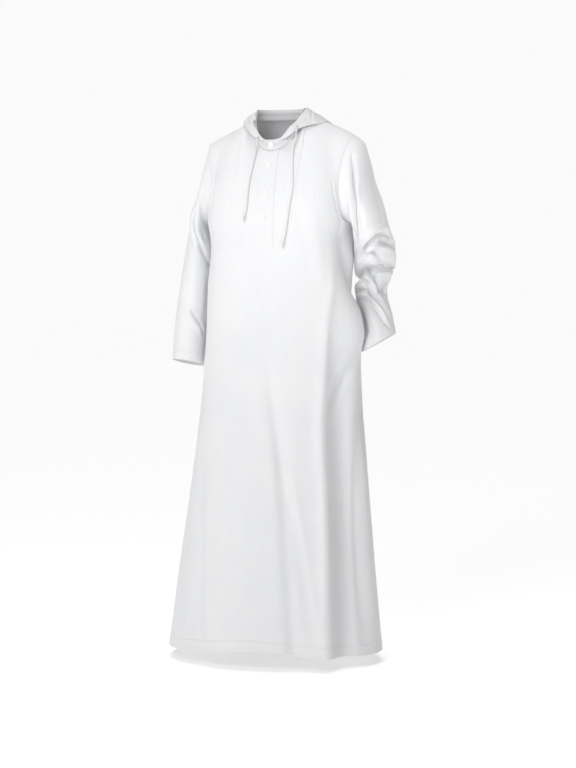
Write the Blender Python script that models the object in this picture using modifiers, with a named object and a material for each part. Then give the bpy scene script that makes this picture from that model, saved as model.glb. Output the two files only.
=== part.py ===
"""A hooded thobe, worn and empty: every cut and sewn piece is a solid of its own.

Metres, +Z up. The origin lies midway between the two points where the shoulder seams meet the
neck. The wearer faces -Y and has the left hand side at +X. An angle called turn is seen from
above: 0 is the centre front, 90 the left side seam, 180 the centre back, -90 the right side seam.
"""
from collections import namedtuple
from math import pi, radians

import bmesh
import bpy
import numpy as np
from mathutils import Vector
from mathutils.bvhtree import BVHTree

# Driving dimensions
WALL = 0.0016               # thickness of the cloth walls
SEAM_GAP = 0.0003           # between two pieces that are sewn together
LAY_GAP = 0.0004            # between a piece and what it lies on
HEM = -1.4425               # height of the hem at the side seams
FRONT_HEM_LIFT = 0.019      # the hem is this much higher at the centre front
UNDERARM = -0.283           # height of the underarm points
TIP_OUT = {-1: 0.205, 1: 0.214}         # shoulder tips, right and left
TIP_HEIGHT = {-1: -0.0635, 1: -0.052}
TIP_ROUNDING = {-1: 1.12, 1: 1.7}      # how late the shoulder seams begin to drop
ARMHOLE_BOW = 0.066         # how far the armhole bows to the front and the back
NECK_TURN = 31.0            # columns of a panel within this turn end at the neckline
NECK_SIDE, NECK_FRONT, NECK_BACK = 0.070, 0.086, 0.063
NECK_DROP = 0.093           # the neckline's centre front lies this far below its sides
NECK_SPREAD = 0.10          # how strongly the columns beside the neck bend out round it
BAND_HEIGHT, BAND_LEAN = 0.027, 0.10
BAND_LAP = 7.0              # degrees that each end of the neckband passes the centre front
BAND_LAP_FADE = 28.0        # the upper end of the band lies raised from its end to this turn
BAND_LIFT = 0.0002          # widens the gap below the band
PLACKET_HALF = 0.0243       # half its width
PLACKET_GAP = 0.0007        # between the placket and the front
PLACKET_END = -0.363
PLACKET_SHARES = (-1.0, -0.75, -0.5, -0.25, 0.0, 0.25, 0.5, 0.75, 1.0)    # of the half width
PLACKET_SHORT = 0.16        # share of the last row by which it stops short of the neckline
SLIT_TOP, SLIT_END = -0.470, -0.632     # the pocket slit in the left side seam
LIP_FRONT, LIP_BACK = 9.0, 13.0         # degrees by which its two edges part
LIP_OUT = 0.014
BAG_GAP = 0.0010            # between the slit's edges and the mouth of the pocket bag
BUTTON_RADIUS, BUTTON_THICKNESS = 0.0070, 0.0030
BAND_BUTTON_RISE = 0.5
PLACKET_BUTTONS = ((0.000, -0.134), (0.000, -0.208), (-0.003, -0.276))      # x and height
CORD_RADIUS = 0.0020
CORD_STEP = 0.010           # between two points of a cord
KNOT_RADIUS = 0.0048

# Horizontal sections of the body, from the hem up
Level = namedtuple("Level", "height half_width front back roundness shift")
BODY = (
    Level(-1.4425, 0.298, 0.222, 0.190, 2.2, -0.016),
    Level(-1.223, 0.273, 0.204, 0.178, 2.2, -0.011),
    Level(-1.043, 0.252, 0.186, 0.166, 2.2, -0.005),
    Level(-0.873, 0.233, 0.168, 0.156, 2.3, 0.000),
    Level(-0.723, 0.217, 0.157, 0.146, 2.4, 0.002),
    Level(-0.603, 0.207, 0.150, 0.136, 2.6, 0.000),
    Level(-0.493, 0.205, 0.147, 0.121, 2.8, 0.000),
    Level(-0.373, 0.204, 0.145, 0.111, 3.0, 0.000),
    Level(-0.283, 0.199, 0.141, 0.117, 2.9, 0.000),
)

# Folds and hollows of the body, a row for each height: where it lies, how far it stands out
# (or in, if negative) and its half width in degrees
Fold = namedtuple("Fold", "height turn depth width")
FOLDS = {
    "left ridge": (
        Fold(-1.46, 47, 0.022, 7.5), Fold(-1.02, 51, 0.017, 6.5),
        Fold(-0.66, 52, 0.010, 6.5), Fold(-0.36, 61, 0.000, 7.0)),
    "left trough": (
        Fold(-1.46, 62, -0.024, 8.0), Fold(-1.02, 64, -0.021, 7.5),
        Fold(-0.72, 66, -0.015, 7.5), Fold(-0.60, 70, 0.000, 8.0)),
    "left side flare": (
        Fold(-1.46, 84, 0.004, 10.0), Fold(-1.02, 84, 0.004, 10.0), Fold(-0.75, 84, 0.000, 10.0)),
    "front trough": (
        Fold(-1.46, 31, -0.013, 5.5), Fold(-1.10, 24, -0.011, 5.5),
        Fold(-0.85, 16, -0.007, 6.0), Fold(-0.68, 7, 0.000, 7.0)),
    "front right swell": (
        Fold(-1.46, -14, 0.006, 16.0), Fold(-1.00, -12, 0.004, 16.0), Fold(-0.70, -10, 0.0, 16.0)),
    "right front trough": (
        Fold(-1.46, -40, -0.010, 6.0), Fold(-1.30, -43, -0.009, 6.0), Fold(-1.04, -55, -0.007, 6.0),
        Fold(-0.80, -60, 0.0, 7.0)),
    "back left flute": (
        Fold(-1.46, 140, -0.018, 9.0), Fold(-1.00, 138, -0.013, 9.0), Fold(-0.62, 136, 0.0, 10.0)),
    "back left ridge": (
        Fold(-1.46, 160, 0.012, 9.0), Fold(-1.00, 160, 0.008, 9.0), Fold(-0.60, 158, 0.0, 10.0)),
    "back right flute": (
        Fold(-1.46, 201, -0.016, 9.0), Fold(-1.00, 203, -0.012, 9.0), Fold(-0.58, 205, 0.0, 10.0)),
    "back right ridge": (
        Fold(-1.46, 226, 0.010, 10.0), Fold(-1.00, 226, 0.007, 10.0), Fold(-0.70, 226, 0.0, 10.0)),
    "right arm hollow": (
        Fold(-0.66, -92, 0.000, 30.0), Fold(-0.46, -92, -0.015, 30.0),
        Fold(-0.335, -92, -0.032, 28.0), Fold(-0.275, -92, -0.006, 22.0), Fold(-0.24, -92, 0.0, 20.0)),
    "left arm hollow": (
        Fold(-0.58, 100, 0.000, 16.0), Fold(-0.50, 100, -0.016, 16.0), Fold(-0.44, 92, -0.020, 18.0),
        Fold(-0.335, 84, -0.028, 18.0), Fold(-0.275, 88, -0.006, 20.0), Fold(-0.24, 90, 0.0, 20.0)),
    "left back swell": (
        Fold(-0.50, 122, 0.000, 15.0), Fold(-0.42, 122, 0.005, 15.0),
        Fold(-0.35, 121, 0.011, 15.0), Fold(-0.30, 121, 0.004, 15.0), Fold(-0.26, 121, 0.0, 15.0)),
    "left hand swell": (
        Fold(-0.80, 80, 0.000, 18.0), Fold(-0.68, 80, 0.018, 17.0), Fold(-0.60, 80, 0.030, 17.0),
        Fold(-0.50, 78, 0.018, 17.0), Fold(-0.42, 76, 0.000, 16.0)),
}

# Rings of the sleeves, from the armhole to the cuff. Each ring hangs between a point of its outer
# line and a point of its underarm line. x is outwards, swing tips the ring's front edge up.
Ring = namedtuple("Ring", "along out_x out_y out_z in_x in_y in_z swing depth")
SLEEVE = {
    -1: (
        Ring(0.000, 0.2050, 0.000, -0.0635, 0.193, 0.000, -0.283, 0, 0.066),
        Ring(0.022, 0.2110, 0.000, -0.091, 0.200, 0.000, -0.285, 0, 0.067),
        Ring(0.050, 0.2150, 0.000, -0.124, 0.204, 0.000, -0.290, 0, 0.069),
        Ring(0.075, 0.2185, 0.000, -0.158, 0.206, 0.000, -0.295, 0, 0.071),
        Ring(0.100, 0.2290, 0.000, -0.193, 0.205, 0.000, -0.301, 1, 0.073),
        Ring(0.150, 0.2500, -0.002, -0.257, 0.199, 0.000, -0.321, 2, 0.075),
        Ring(0.220, 0.2640, -0.004, -0.340, 0.188, -0.002, -0.356, 3, 0.076),
        Ring(0.340, 0.2840, -0.008, -0.455, 0.199, -0.006, -0.475, 4, 0.073),
        Ring(0.420, 0.2955, -0.013, -0.535, 0.209, -0.011, -0.552, 6, 0.067),
        Ring(0.500, 0.3020, -0.018, -0.612, 0.217, -0.017, -0.626, 8, 0.062),
        Ring(0.545, 0.3040, -0.021, -0.660, 0.220, -0.020, -0.671, 9, 0.060),
    ),
    1: (
        Ring(0.000, 0.2140, 0.000, -0.052, 0.193, 0.000, -0.283, 0, 0.066),
        Ring(0.022, 0.2350, 0.001, -0.070, 0.200, 0.002, -0.285, -1, 0.067),
        Ring(0.055, 0.2475, 0.004, -0.114, 0.205, 0.005, -0.289, -2, 0.069),
        Ring(0.095, 0.2590, 0.010, -0.170, 0.207, 0.012, -0.296, -5, 0.071),
        Ring(0.145, 0.2750, 0.026, -0.225, 0.206, 0.028, -0.312, -10, 0.071),
        Ring(0.210, 0.2870, 0.060, -0.298, 0.194, 0.058, -0.342, -14, 0.069),
        Ring(0.270, 0.2950, 0.092, -0.352, 0.187, 0.090, -0.388, -8, 0.067),
        Ring(0.310, 0.2950, 0.106, -0.388, 0.183, 0.104, -0.424, 2, 0.066),
        Ring(0.355, 0.2860, 0.101, -0.420, 0.184, 0.103, -0.456, 8, 0.065),
        Ring(0.400, 0.2740, 0.086, -0.452, 0.190, 0.092, -0.492, 10, 0.062),
        Ring(0.450, 0.2860, 0.064, -0.494, 0.199, 0.076, -0.538, 6, 0.060),
        Ring(0.500, 0.3030, 0.040, -0.541, 0.210, 0.054, -0.588, 0, 0.058),
        Ring(0.545, 0.3160, 0.022, -0.584, 0.222, 0.036, -0.634, -6, 0.056),
    ),
}

# Creases of the sleeves: place along the sleeve and round it (0 outer, 90 front, 180 underarm),
# half length round it, how far it stands out, half width along it, and rise along for 90 degrees
Crease = namedtuple("Crease", "along around spread depth width slant")
CREASES = {
    -1: (
        Crease(0.215, 95, 65, -0.0070, 0.024, 0.060),
        Crease(0.165, 90, 60, 0.0040, 0.026, 0.050),
        Crease(0.400, 130, 60, -0.0050, 0.024, 0.040),
    ),
    1: (
        Crease(0.285, 60, 95, 0.0050, 0.020, -0.010),
        Crease(0.325, 80, 80, -0.0110, 0.017, 0.014),
        Crease(0.362, 60, 80, 0.0080, 0.018, 0.006),
        Crease(0.418, 30, 85, -0.0120, 0.019, 0.012),
        Crease(0.480, 60, 90, 0.0040, 0.024, 0.000),
    ),
}

# The hood lies folded down. At each turn its section runs from the seam on the neckband out to
# the fold, and back over itself to the rim of the face opening.
HoodSection = namedtuple("HoodSection", "turn fold_out fold_height bulge loft rim_out rim_height")
HOOD = (
    HoodSection(26, 0.0985, -0.0600, 0.0000, 0.0030, 0.0890, -0.0380),
    HoodSection(45, 0.1000, -0.0370, 0.0010, 0.0045, 0.0830, -0.0165),
    HoodSection(60, 0.1050, -0.0250, 0.0020, 0.0040, 0.0775, 0.0020),
    HoodSection(90, 0.1270, -0.0060, 0.0030, -0.0020, 0.0720, 0.0280),
    HoodSection(112, 0.1440, -0.0200, 0.0050, 0.0000, 0.0730, 0.0300),
    HoodSection(135, 0.1480, -0.0900, 0.0150, 0.0180, 0.0750, 0.0310),
    HoodSection(158, 0.1540, -0.1850, 0.0170, 0.0360, 0.0730, 0.0310),
    HoodSection(180, 0.1570, -0.2250, 0.0180, 0.0420, 0.0720, 0.0310),
)

HOOD_SEAM_BELOW = 0.004     # from the band's upper edge down to the hood's seam
HOOD_SEAM_OFF = 0.0009      # from the band's smooth form out to the hood's seam
HOOD_LOW, HOOD_NEAR = 0.022, 0.020      # the right half's rim lies lower and its fold nearer the neck
HOOD_LOW_TURN, HOOD_LOW_WIDTH = 95.0, 34.0

# The pocket bag from its mouth inwards: way in from the mouth, and share of the mouth's height
# and width
Bag = namedtuple("Bag", "inward forward down tall thick")
BAG = (
    Bag(0.000, 0.000, 0.000, 1.00, 1.00),
    Bag(0.022, 0.004, 0.004, 1.00, 0.55),
    Bag(0.050, 0.016, 0.018, 1.02, 0.34),
    Bag(0.082, 0.036, 0.042, 1.00, 0.26),
    Bag(0.108, 0.050, 0.068, 0.80, 0.20),
    Bag(0.120, 0.056, 0.080, 0.50, 0.12),
)

# Ways of the two free ends of the drawstring. First over the hood's fold, as x, y and z, and then
# down the front panel to the knot, where off is how far the cord's middle line stands out from it.
CORD_STARTS = {
    -1: ((-0.0365, -0.0865, -0.0535), (-0.0400, -0.0925, -0.0650), (-0.0420, -0.0950, -0.0800)),
    1: ((0.0650, -0.0715, -0.0245), (0.0700, -0.0810, -0.0400), (0.0690, -0.0870, -0.0600)),
}
CordPoint = namedtuple("CordPoint", "x height off")
CORDS = {
    -1: (
        CordPoint(-0.0425, -0.1050, 0.0050), CordPoint(-0.0435, -0.1260, 0.0036),
        CordPoint(-0.0452, -0.1470, 0.0032), CordPoint(-0.0477, -0.1825, 0.0031),
        CordPoint(-0.0492, -0.2180, 0.0031), CordPoint(-0.0498, -0.2480, 0.0040),
        CordPoint(-0.0542, -0.2705, 0.0062)),
    1: (
        CordPoint(0.0665, -0.0900, 0.0045),
        CordPoint(0.0690, -0.1250, 0.0031), CordPoint(0.0725, -0.1650, 0.0031),
        CordPoint(0.0746, -0.2000, 0.0031), CordPoint(0.0690, -0.2400, 0.0031),
        CordPoint(0.0655, -0.2700, 0.0031), CordPoint(0.0600, -0.3150, 0.0040),
        CordPoint(0.0550, -0.3430, 0.0062)),
}

# Grids of the solids
FRONT_TURNS = (-90, -84, -77, -70, -62, -54, -46, -38.5, -31, -24, -16.5, -9.5, -2.4, 0, 2.4, 9.5,
               16.5, 24, 31, 36, 41, 46, 50, 54, 58, 62, 66, 71, 77, 84, 90)
BACK_TURNS = (90, 96, 103, 109, 114, 118, 122, 126, 130, 134, 139, 144, 149, 156, 164, 172, 180, 188,
              196, 204, 211, 218.5, 226, 234, 242, 250, 257, 264, 270)
HEIGHTS = (HEM, -1.405, -1.33, -1.25, -1.16, -1.07, -0.98, -0.89, -0.81, -0.74, -0.68, SLIT_END,
           -0.605, -0.578, -0.551, -0.524, -0.497, SLIT_TOP, -0.43, -0.395, PLACKET_END, -0.33,
           -0.305, UNDERARM)
YOKE_ROWS = 10              # rows of a panel between the underarm and the shoulder seam
SLEEVE_RINGS = {-1: 20, 1: 26}
HOOD_ROWS, HOOD_COLUMNS = 12, 12
SPLIT_WAY = (0.37, 0.21, 1.0)           # of a cut edge's two faces, the first starts lower this way

WHITE_COTTON = ("white cotton", (0.86, 0.86, 0.85), 0.62)
WHITE_CORD = ("white cord", (0.84, 0.84, 0.83), 0.70)
PEARL_BUTTON = ("pearl button", (0.93, 0.93, 0.92), 0.25)


def hermite(start, end, start_slope, end_slope, t):
    """Cubic between two values with the given slopes, at t from 0 to 1."""
    return ((1 + 2 * t) * (1 - t) ** 2 * start + t * (1 - t) ** 2 * start_slope
            + t * t * (3 - 2 * t) * end + t * t * (t - 1) * end_slope)


def smooth_step(low, high, at):
    """0 below low, 1 above high, and a smooth rise between them."""
    t = np.clip((at - low) / (high - low), 0, 1)
    return t * t * (3 - 2 * t)


def through(rows, column, at):
    """Smooth curve through one column of a table, read at places along its first column."""
    knots = np.array([row[0] for row in rows], float)
    values = np.array([getattr(row, column) for row in rows], float)
    slopes = np.gradient(values, knots)
    at = np.clip(at, knots[0], knots[-1])
    low = np.clip(np.searchsorted(knots, at, side="right") - 1, 0, len(knots) - 2)
    span = knots[low + 1] - knots[low]
    return hermite(values[low], values[low + 1], slopes[low] * span, slopes[low + 1] * span,
                   (at - knots[low]) / span)


def superellipse(turn, half_width, front, back, roundness):
    """Distance from the axis to a rounded oval, at a turn in radians."""
    depth = np.where(np.cos(turn) > 0, front, back)
    return (np.abs(np.sin(turn) / half_width) ** roundness
            + np.abs(np.cos(turn) / depth) ** roundness) ** (-1 / roundness)


def fold_depth(turn, height):
    """How far the folds move the cloth out at a turn in degrees and a height."""
    total = np.zeros(np.broadcast(turn, height).shape)
    for rows in FOLDS.values():
        away = (turn - through(rows, "turn", height) + 180) % 360 - 180
        total = total + through(rows, "depth", height) * np.exp(-(away / through(rows, "width", height)) ** 2)
    return total


def slit_opening(height):
    """0 outside the pocket slit and 1 at its middle."""
    t = np.clip((height - SLIT_END) / (SLIT_TOP - SLIT_END), 0, 1)
    return np.sin(pi * t) ** 1.2


def body_point(turn, level, lip=0):
    """A point of the body below the underarm. lip is how far a slit edge stands out there."""
    angle = np.radians(turn)
    lift = FRONT_HEM_LIFT * np.clip(np.cos(angle), 0, 1) ** 4
    height = level + lift * smooth_step(-0.9, HEM, level)
    out = superellipse(angle, *(through(BODY, column, level) for column in BODY[0]._fields[1:5]))
    out = out + fold_depth(turn, level) + lip
    return np.stack([through(BODY, "shift", level) + out * np.sin(angle), -out * np.cos(angle), height], -1)


def neck_point(turn):
    """A point of the neckline at a turn round the neck, in degrees."""
    angle = np.radians(turn)
    out = superellipse(angle, NECK_SIDE, NECK_FRONT, NECK_BACK, 2.0)
    height = -NECK_DROP * np.clip(np.cos(angle), 0, 1) ** 1.5 + 0.004 * np.clip(-np.cos(angle), 0, 1)
    return np.stack([out * np.sin(angle), -out * np.cos(angle), height], -1)


def neck_turn(turn, front):
    """Turn round the neck at which a panel's column ends."""
    centre = 0.0 if front else 180.0
    return centre + (turn - centre) * 90.0 / NECK_TURN


def yoke_point(turn, rise, front):
    """A point of a panel above the underarm: rise is 0 at the underarm and 1 at the top edge."""
    centre = 0.0 if front else 180.0
    facing = 1.0 if front else -1.0
    off = turn - centre
    side = np.where(off * facing >= 0, 1, -1)
    beyond = np.clip((np.abs(off) - NECK_TURN) / (90.0 - NECK_TURN), 0, 1)
    start = body_point(turn, np.full_like(turn, UNDERARM))
    tip_out = np.where(side > 0, TIP_OUT[1], TIP_OUT[-1])
    tip_height = np.where(side > 0, TIP_HEIGHT[1], TIP_HEIGHT[-1])
    rounding = np.where(side > 0, TIP_ROUNDING[1], TIP_ROUNDING[-1])
    seam = np.stack([side * (NECK_SIDE + (tip_out - NECK_SIDE) * beyond), 0 * turn,
                     tip_height * beyond ** rounding], -1)
    end = np.where((beyond > 0)[..., None], seam, neck_point(neck_turn(np.clip(off, -NECK_TURN, NECK_TURN)
                                                                        + centre, front)))
    climb = (end - start)[..., 2]
    at_side = smooth_step(58, 90, np.abs(off))
    round_neck = smooth_step(4, NECK_TURN, np.abs(off)) * (1 - smooth_step(NECK_TURN, 66, np.abs(off)))
    off_neck = smooth_step(0, NECK_TURN, np.abs(off))
    bow = 4 * ARMHOLE_BOW * facing
    leave = np.stack([-0.07 * side * at_side, -bow * at_side, climb * (1 - at_side)], -1)
    back_slope = 0.45 + 0.45 * off_neck if front else 0.80 + 0.10 * off_neck
    up_slope = 0.90 - 0.62 * off_neck if front else 0.55 - 0.27 * off_neck
    arrive = np.stack([side * (0.07 * at_side - NECK_SPREAD * round_neck),
                       bow * at_side + facing * back_slope * climb * (1 - at_side),
                       up_slope * climb * (1 - at_side)], -1)
    rise = np.asarray(rise)[..., None]
    return hermite(start, end, leave, arrive, rise)


def panel(front, turns, levels, yoke_rows):
    """Grid of a panel's outer points, a row for each level from the hem and then the yoke."""
    lower = []
    for level in levels:
        opening = slit_opening(level)
        turn = np.array(turns, float)
        near = np.clip(1 - np.abs(turn - 90) / 40, 0, 1)
        if front:
            turn = turn - LIP_FRONT * opening * near
            lip = LIP_OUT * opening * near ** 2
        else:
            turn = turn + LIP_BACK * opening * near
            lip = -LIP_OUT * opening * near ** 2
        lower.append(body_point(turn, np.full_like(turn, level), lip))
    turn = np.array(turns, float)
    upper = [yoke_point(turn, np.full_like(turn, rise), front)
             for rise in np.linspace(0, 1, yoke_rows + 1)[1:]]
    return np.array(lower + upper)


def armhole(side, yoke_rows):
    """The armhole as a closed ring: top, front, underarm and back on the left, reversed on the right."""
    rises = np.linspace(1, 0, yoke_rows + 1)
    front = yoke_point(np.full_like(rises, 90.0 * side), rises, True)
    back_turn = 90.0 if side > 0 else 270.0
    back = yoke_point(np.full_like(rises, back_turn), rises, False)
    if side > 0:
        return np.concatenate([front, back[::-1][1:-1]])
    return np.concatenate([back, front[::-1][1:-1]])


def sleeve(side, along, yoke_rows):
    """Grid of a sleeve's outer points, a row for each ring from the armhole to the cuff."""
    hole = armhole(side, yoke_rows)
    rows = SLEEVE[side]
    around = np.linspace(0, 360, len(hole), endpoint=False)
    if side < 0:
        around = (360 - around) % 360
    angle = np.radians(around)
    grid = []
    for place in along:
        ring = {column: float(through(rows, column, place)) for column in Ring._fields[1:]}
        outer = np.array([side * ring["out_x"], ring["out_y"], ring["out_z"]])
        inner = np.array([side * ring["in_x"], ring["in_y"], ring["in_z"]])
        forward = np.array([0, -np.cos(radians(ring["swing"])), np.sin(radians(ring["swing"]))])
        reach = (outer - inner) / 2
        unit_out = reach / np.linalg.norm(reach)
        crease = sum(fold.depth * np.exp(-(((around - fold.around + 180) % 360 - 180) / fold.spread) ** 2)
                     * np.exp(-((place - fold.along - fold.slant * (around - fold.around) / 90)
                                / fold.width) ** 2)
                     for fold in CREASES[side])
        points = ((outer + inner) / 2 + np.cos(angle)[:, None] * (reach + unit_out * crease[:, None])
                  + np.sin(angle)[:, None] * forward * (ring["depth"] + crease)[:, None])
        grid.append(points)
    grid = np.array(grid)
    fade = (1 - smooth_step(0, 0.07, np.asarray(along)))[:, None, None]
    return grid + (hole - grid[0]) * fade


def band(turns, rises):
    """Grid of the neckband's outer points. Its upper end rises over the lower one at the front."""
    grid = []
    for rise in rises:
        base = neck_point(turns)
        radial = base * (1, 1, 0)
        radial = radial / np.linalg.norm(radial, axis=-1)[:, None]
        lap = (WALL + LAY_GAP) * (1 - smooth_step(BAND_LAP, BAND_LAP_FADE, turns))
        up = rise * BAND_HEIGHT
        grid.append(base + radial * (lap - BAND_LEAN * up)[:, None] + np.outer(up + lap, (0, 0, 1)))
    return np.array(grid)


def hood(side, turns, rows):
    """Grid of one half of the hood, from the seam on the neckband round the fold to the rim."""
    table = HOOD
    column = {name: through(table, name, turns) for name in HoodSection._fields[1:]}
    neck = neck_point(turns)
    neck_out = np.hypot(neck[:, 0], neck[:, 1])
    rise = BAND_HEIGHT - HOOD_SEAM_BELOW
    seam = np.stack([neck_out - BAND_LEAN * rise + HOOD_SEAM_OFF, neck[:, 2] + rise], -1)
    share = 0 * turns
    if side < 0:
        share = np.exp(-((turns - HOOD_LOW_TURN) / HOOD_LOW_WIDTH) ** 2) * (1 - smooth_step(135, 170, turns))
    fold = np.stack([column["fold_out"] - HOOD_NEAR * share, column["fold_height"]], -1)
    rim = np.stack([column["rim_out"], column["rim_height"] - HOOD_LOW * share], -1)

    def between(a, b, off):
        run = (b - a) / np.linalg.norm(b - a, axis=-1)[:, None]
        across = np.stack([-run[:, 1], run[:, 0]], -1)
        return (a + b) / 2 + across * off[:, None]

    under = between(seam, fold, column["bulge"])
    over = between(fold, rim, -column["loft"])
    keys = [seam, under, fold, over, rim]
    places = np.linspace(0, 4, rows + 1)
    angle = np.radians(turns)
    outward = np.stack([side * np.sin(angle), -np.cos(angle)], -1)
    grid = []
    for place in places:
        low = min(int(place), 3)
        before, start, end, after = (keys[max(low - 1, 0)], keys[low], keys[low + 1], keys[min(low + 2, 4)])
        flat = hermite(start, end, (end - before) / 2, (after - start) / 2, place - low)
        grid.append(np.concatenate([outward * flat[:, :1], flat[:, 1:]], -1))
    grid = np.array(grid)
    return grid if side > 0 else grid[:, ::-1]


def strip(grid, normals, middle, places):
    """Points and normals of a grid at even distances to both sides of one of its columns."""
    points, upward = [], []
    for row, ups in zip(grid, normals):
        run = np.concatenate([[0], np.cumsum(np.linalg.norm(np.diff(row, axis=0), axis=1))])
        at = places + run[middle]
        points.append(np.stack([np.interp(at, run, row[:, k]) for k in range(3)], -1))
        upward.append(np.stack([np.interp(at, run, ups[:, k]) for k in range(3)], -1))
    upward = np.array(upward)
    return np.array(points), upward / np.linalg.norm(upward, axis=-1)[..., None]


def cell_sums(grid, closed):
    """Sum at each grid point of the area vectors of the cells that meet there."""
    wrapped = np.concatenate([grid, grid[:, :1]], 1) if closed else grid
    area = np.cross(wrapped[1:, 1:] - wrapped[:-1, :-1], wrapped[1:, :-1] - wrapped[:-1, 1:])
    total = np.zeros_like(wrapped)
    total[:-1, :-1] += area
    total[1:, :-1] += area
    total[:-1, 1:] += area
    total[1:, 1:] += area
    if closed:
        total[:, 0] += total[:, -1]
        total = total[:, :-1]
    return total


def shared_normals(grids):
    """Unit normals of all grids, the same wherever two grids share a point."""
    sums = {name: cell_sums(grid, closed) for name, (grid, closed) in grids.items()}
    at_place = {}
    for name, (grid, _) in grids.items():
        for point, total in zip(grid.reshape(-1, 3), sums[name].reshape(-1, 3)):
            key = tuple(np.round(point, 5))
            at_place[key] = at_place.get(key, 0) + total
    normals = {}
    for name, (grid, _) in grids.items():
        flat = np.array([at_place[tuple(np.round(point, 5))] for point in grid.reshape(-1, 3)])
        flat = flat / np.linalg.norm(flat, axis=-1)[:, None]
        normals[name] = flat.reshape(grid.shape)
    return normals


def drawn_in(grid, closed):
    """The grid with its edges drawn in by half a seam gap, square to the edge."""
    def step(edge, inside):
        way = inside - edge
        if closed:
            along = np.roll(edge, -1, 0) - np.roll(edge, 1, 0)
        else:
            along = np.gradient(edge, axis=0)
        along = along / np.linalg.norm(along, axis=-1)[..., None]
        way = way - along * (way * along).sum(-1)[..., None]
        return way / np.linalg.norm(way, axis=-1)[..., None] * SEAM_GAP / 2

    moved = grid.copy()
    moved[0] += step(grid[0], grid[1])
    moved[-1] += step(grid[-1], grid[-2])
    if not closed:
        moved[:, 0] += step(grid[:, 0], grid[:, 1])
        moved[:, -1] += step(grid[:, -1], grid[:, -2])
    return moved


def add_edge(mesh, out_a, out_b, in_b, in_a):
    """Two faces across a cut edge, split the same way as on the piece sewn to it."""
    way = Vector(SPLIT_WAY)
    if out_a.co.dot(way) < out_b.co.dot(way):
        mesh.faces.new((out_a, out_b, in_b))
        mesh.faces.new((out_a, in_b, in_a))
    else:
        mesh.faces.new((out_a, out_b, in_a))
        mesh.faces.new((out_b, in_b, in_a))


def add_wall(name, outer, normals, material, closed=False, capped=False, thickness=WALL):
    """Solid wall between a grid of outer points and the same points moved inwards."""
    rows, columns = outer.shape[:2]
    inner = outer - normals * thickness
    mesh = bmesh.new()
    faces_out = [[mesh.verts.new(point) for point in row] for row in outer]
    faces_in = [[mesh.verts.new(point) for point in row] for row in inner]
    cells = columns if closed else columns - 1
    for i in range(rows - 1):
        for j in range(cells):
            k = (j + 1) % columns
            mesh.faces.new((faces_out[i][j], faces_out[i][k], faces_out[i + 1][k], faces_out[i + 1][j]))
            mesh.faces.new((faces_in[i][j], faces_in[i + 1][j], faces_in[i + 1][k], faces_in[i][k]))
    for j in range(cells):
        k = (j + 1) % columns
        add_edge(mesh, faces_out[0][k], faces_out[0][j], faces_in[0][j], faces_in[0][k])
        if not capped:
            add_edge(mesh, faces_out[-1][j], faces_out[-1][k], faces_in[-1][k], faces_in[-1][j])
    if capped:
        mesh.faces.new(faces_out[-1])
        mesh.faces.new(faces_in[-1][::-1])
    if not closed:
        for i in range(rows - 1):
            add_edge(mesh, faces_out[i][0], faces_out[i + 1][0], faces_in[i + 1][0], faces_in[i][0])
            add_edge(mesh, faces_out[i + 1][-1], faces_out[i][-1], faces_in[i][-1], faces_in[i + 1][-1])
    data = bpy.data.meshes.new(name)
    mesh.to_mesh(data)
    mesh.free()
    data.shade_smooth()
    data.set_sharp_from_angle(angle=radians(50))
    return add_object(name, data, material)


def add_object(name, data, material):
    """Link an object to the garment's collection and give it its own material."""
    thing = bpy.data.objects.new(name, data)
    label, colour, roughness = material
    finish = bpy.data.materials.new(f"{label} {name}")
    finish.use_nodes = True
    shader = finish.node_tree.nodes["Principled BSDF"]
    shader.inputs["Base Color"].default_value = (*colour, 1)
    shader.inputs["Roughness"].default_value = roughness
    shader.inputs["Metallic"].default_value = 0.0
    data.materials.append(finish)
    garment.objects.link(thing)
    return thing


def pocket_bag(front_grid, back_grid, front_normals, back_normals):
    """Rings of the pocket bag: the mouth follows the slit's two edges, then the bag runs inwards."""
    rows = [HEIGHTS.index(level) for level in HEIGHTS if SLIT_END <= level <= SLIT_TOP]
    inside = WALL + BAG_GAP
    front_edge = front_grid[rows, -1] - front_normals[rows, -1] * inside
    back_edge = back_grid[rows, 0] - back_normals[rows, 0] * inside
    ends = (front_edge[[0, -1]] + back_edge[[0, -1]]) / 2
    mouth = np.concatenate([ends[:1], back_edge[1:-1], ends[1:], front_edge[1:-1][::-1]])
    centre = mouth.mean(0)
    grid = []
    for ring in BAG:
        off = mouth - centre
        off = off * (ring.thick, ring.thick, ring.tall)
        grid.append(centre + (-ring.inward, -ring.forward, -ring.down) + off)
    return np.array(grid)


def add_turned(name, profile, place, axis, steps, material):
    """A body turned from a profile of (radius, height) pairs, standing on a place along an axis."""
    data = bpy.data.meshes.new(name)
    data.from_pydata([(out, 0, up) for out, up in profile], [(i, i + 1) for i in range(len(profile) - 1)], [])
    body = add_object(name, data, material)
    turn = body.modifiers.new("turned", "SCREW")
    turn.steps = steps
    turn.render_steps = steps
    turn.use_merge_vertices = True
    turn.merge_threshold = 0.00001
    body.location = Vector(place)
    body.rotation_euler = Vector(axis).to_track_quat("Z", "Y").to_euler()
    return body


def add_button(name, place, normal):
    """A button with a dished top, lying on the cloth at a place with a normal."""
    top = BUTTON_THICKNESS
    profile = ((0, top * 0.72), (BUTTON_RADIUS * 0.62, top * 0.72), (BUTTON_RADIUS * 0.76, top),
               (BUTTON_RADIUS * 0.93, top * 0.93), (BUTTON_RADIUS, top * 0.55),
               (BUTTON_RADIUS * 0.86, 0), (0, 0))
    return add_turned(name, profile, Vector(place) + Vector(normal) * LAY_GAP, normal, 16, PEARL_BUTTON)


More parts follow.
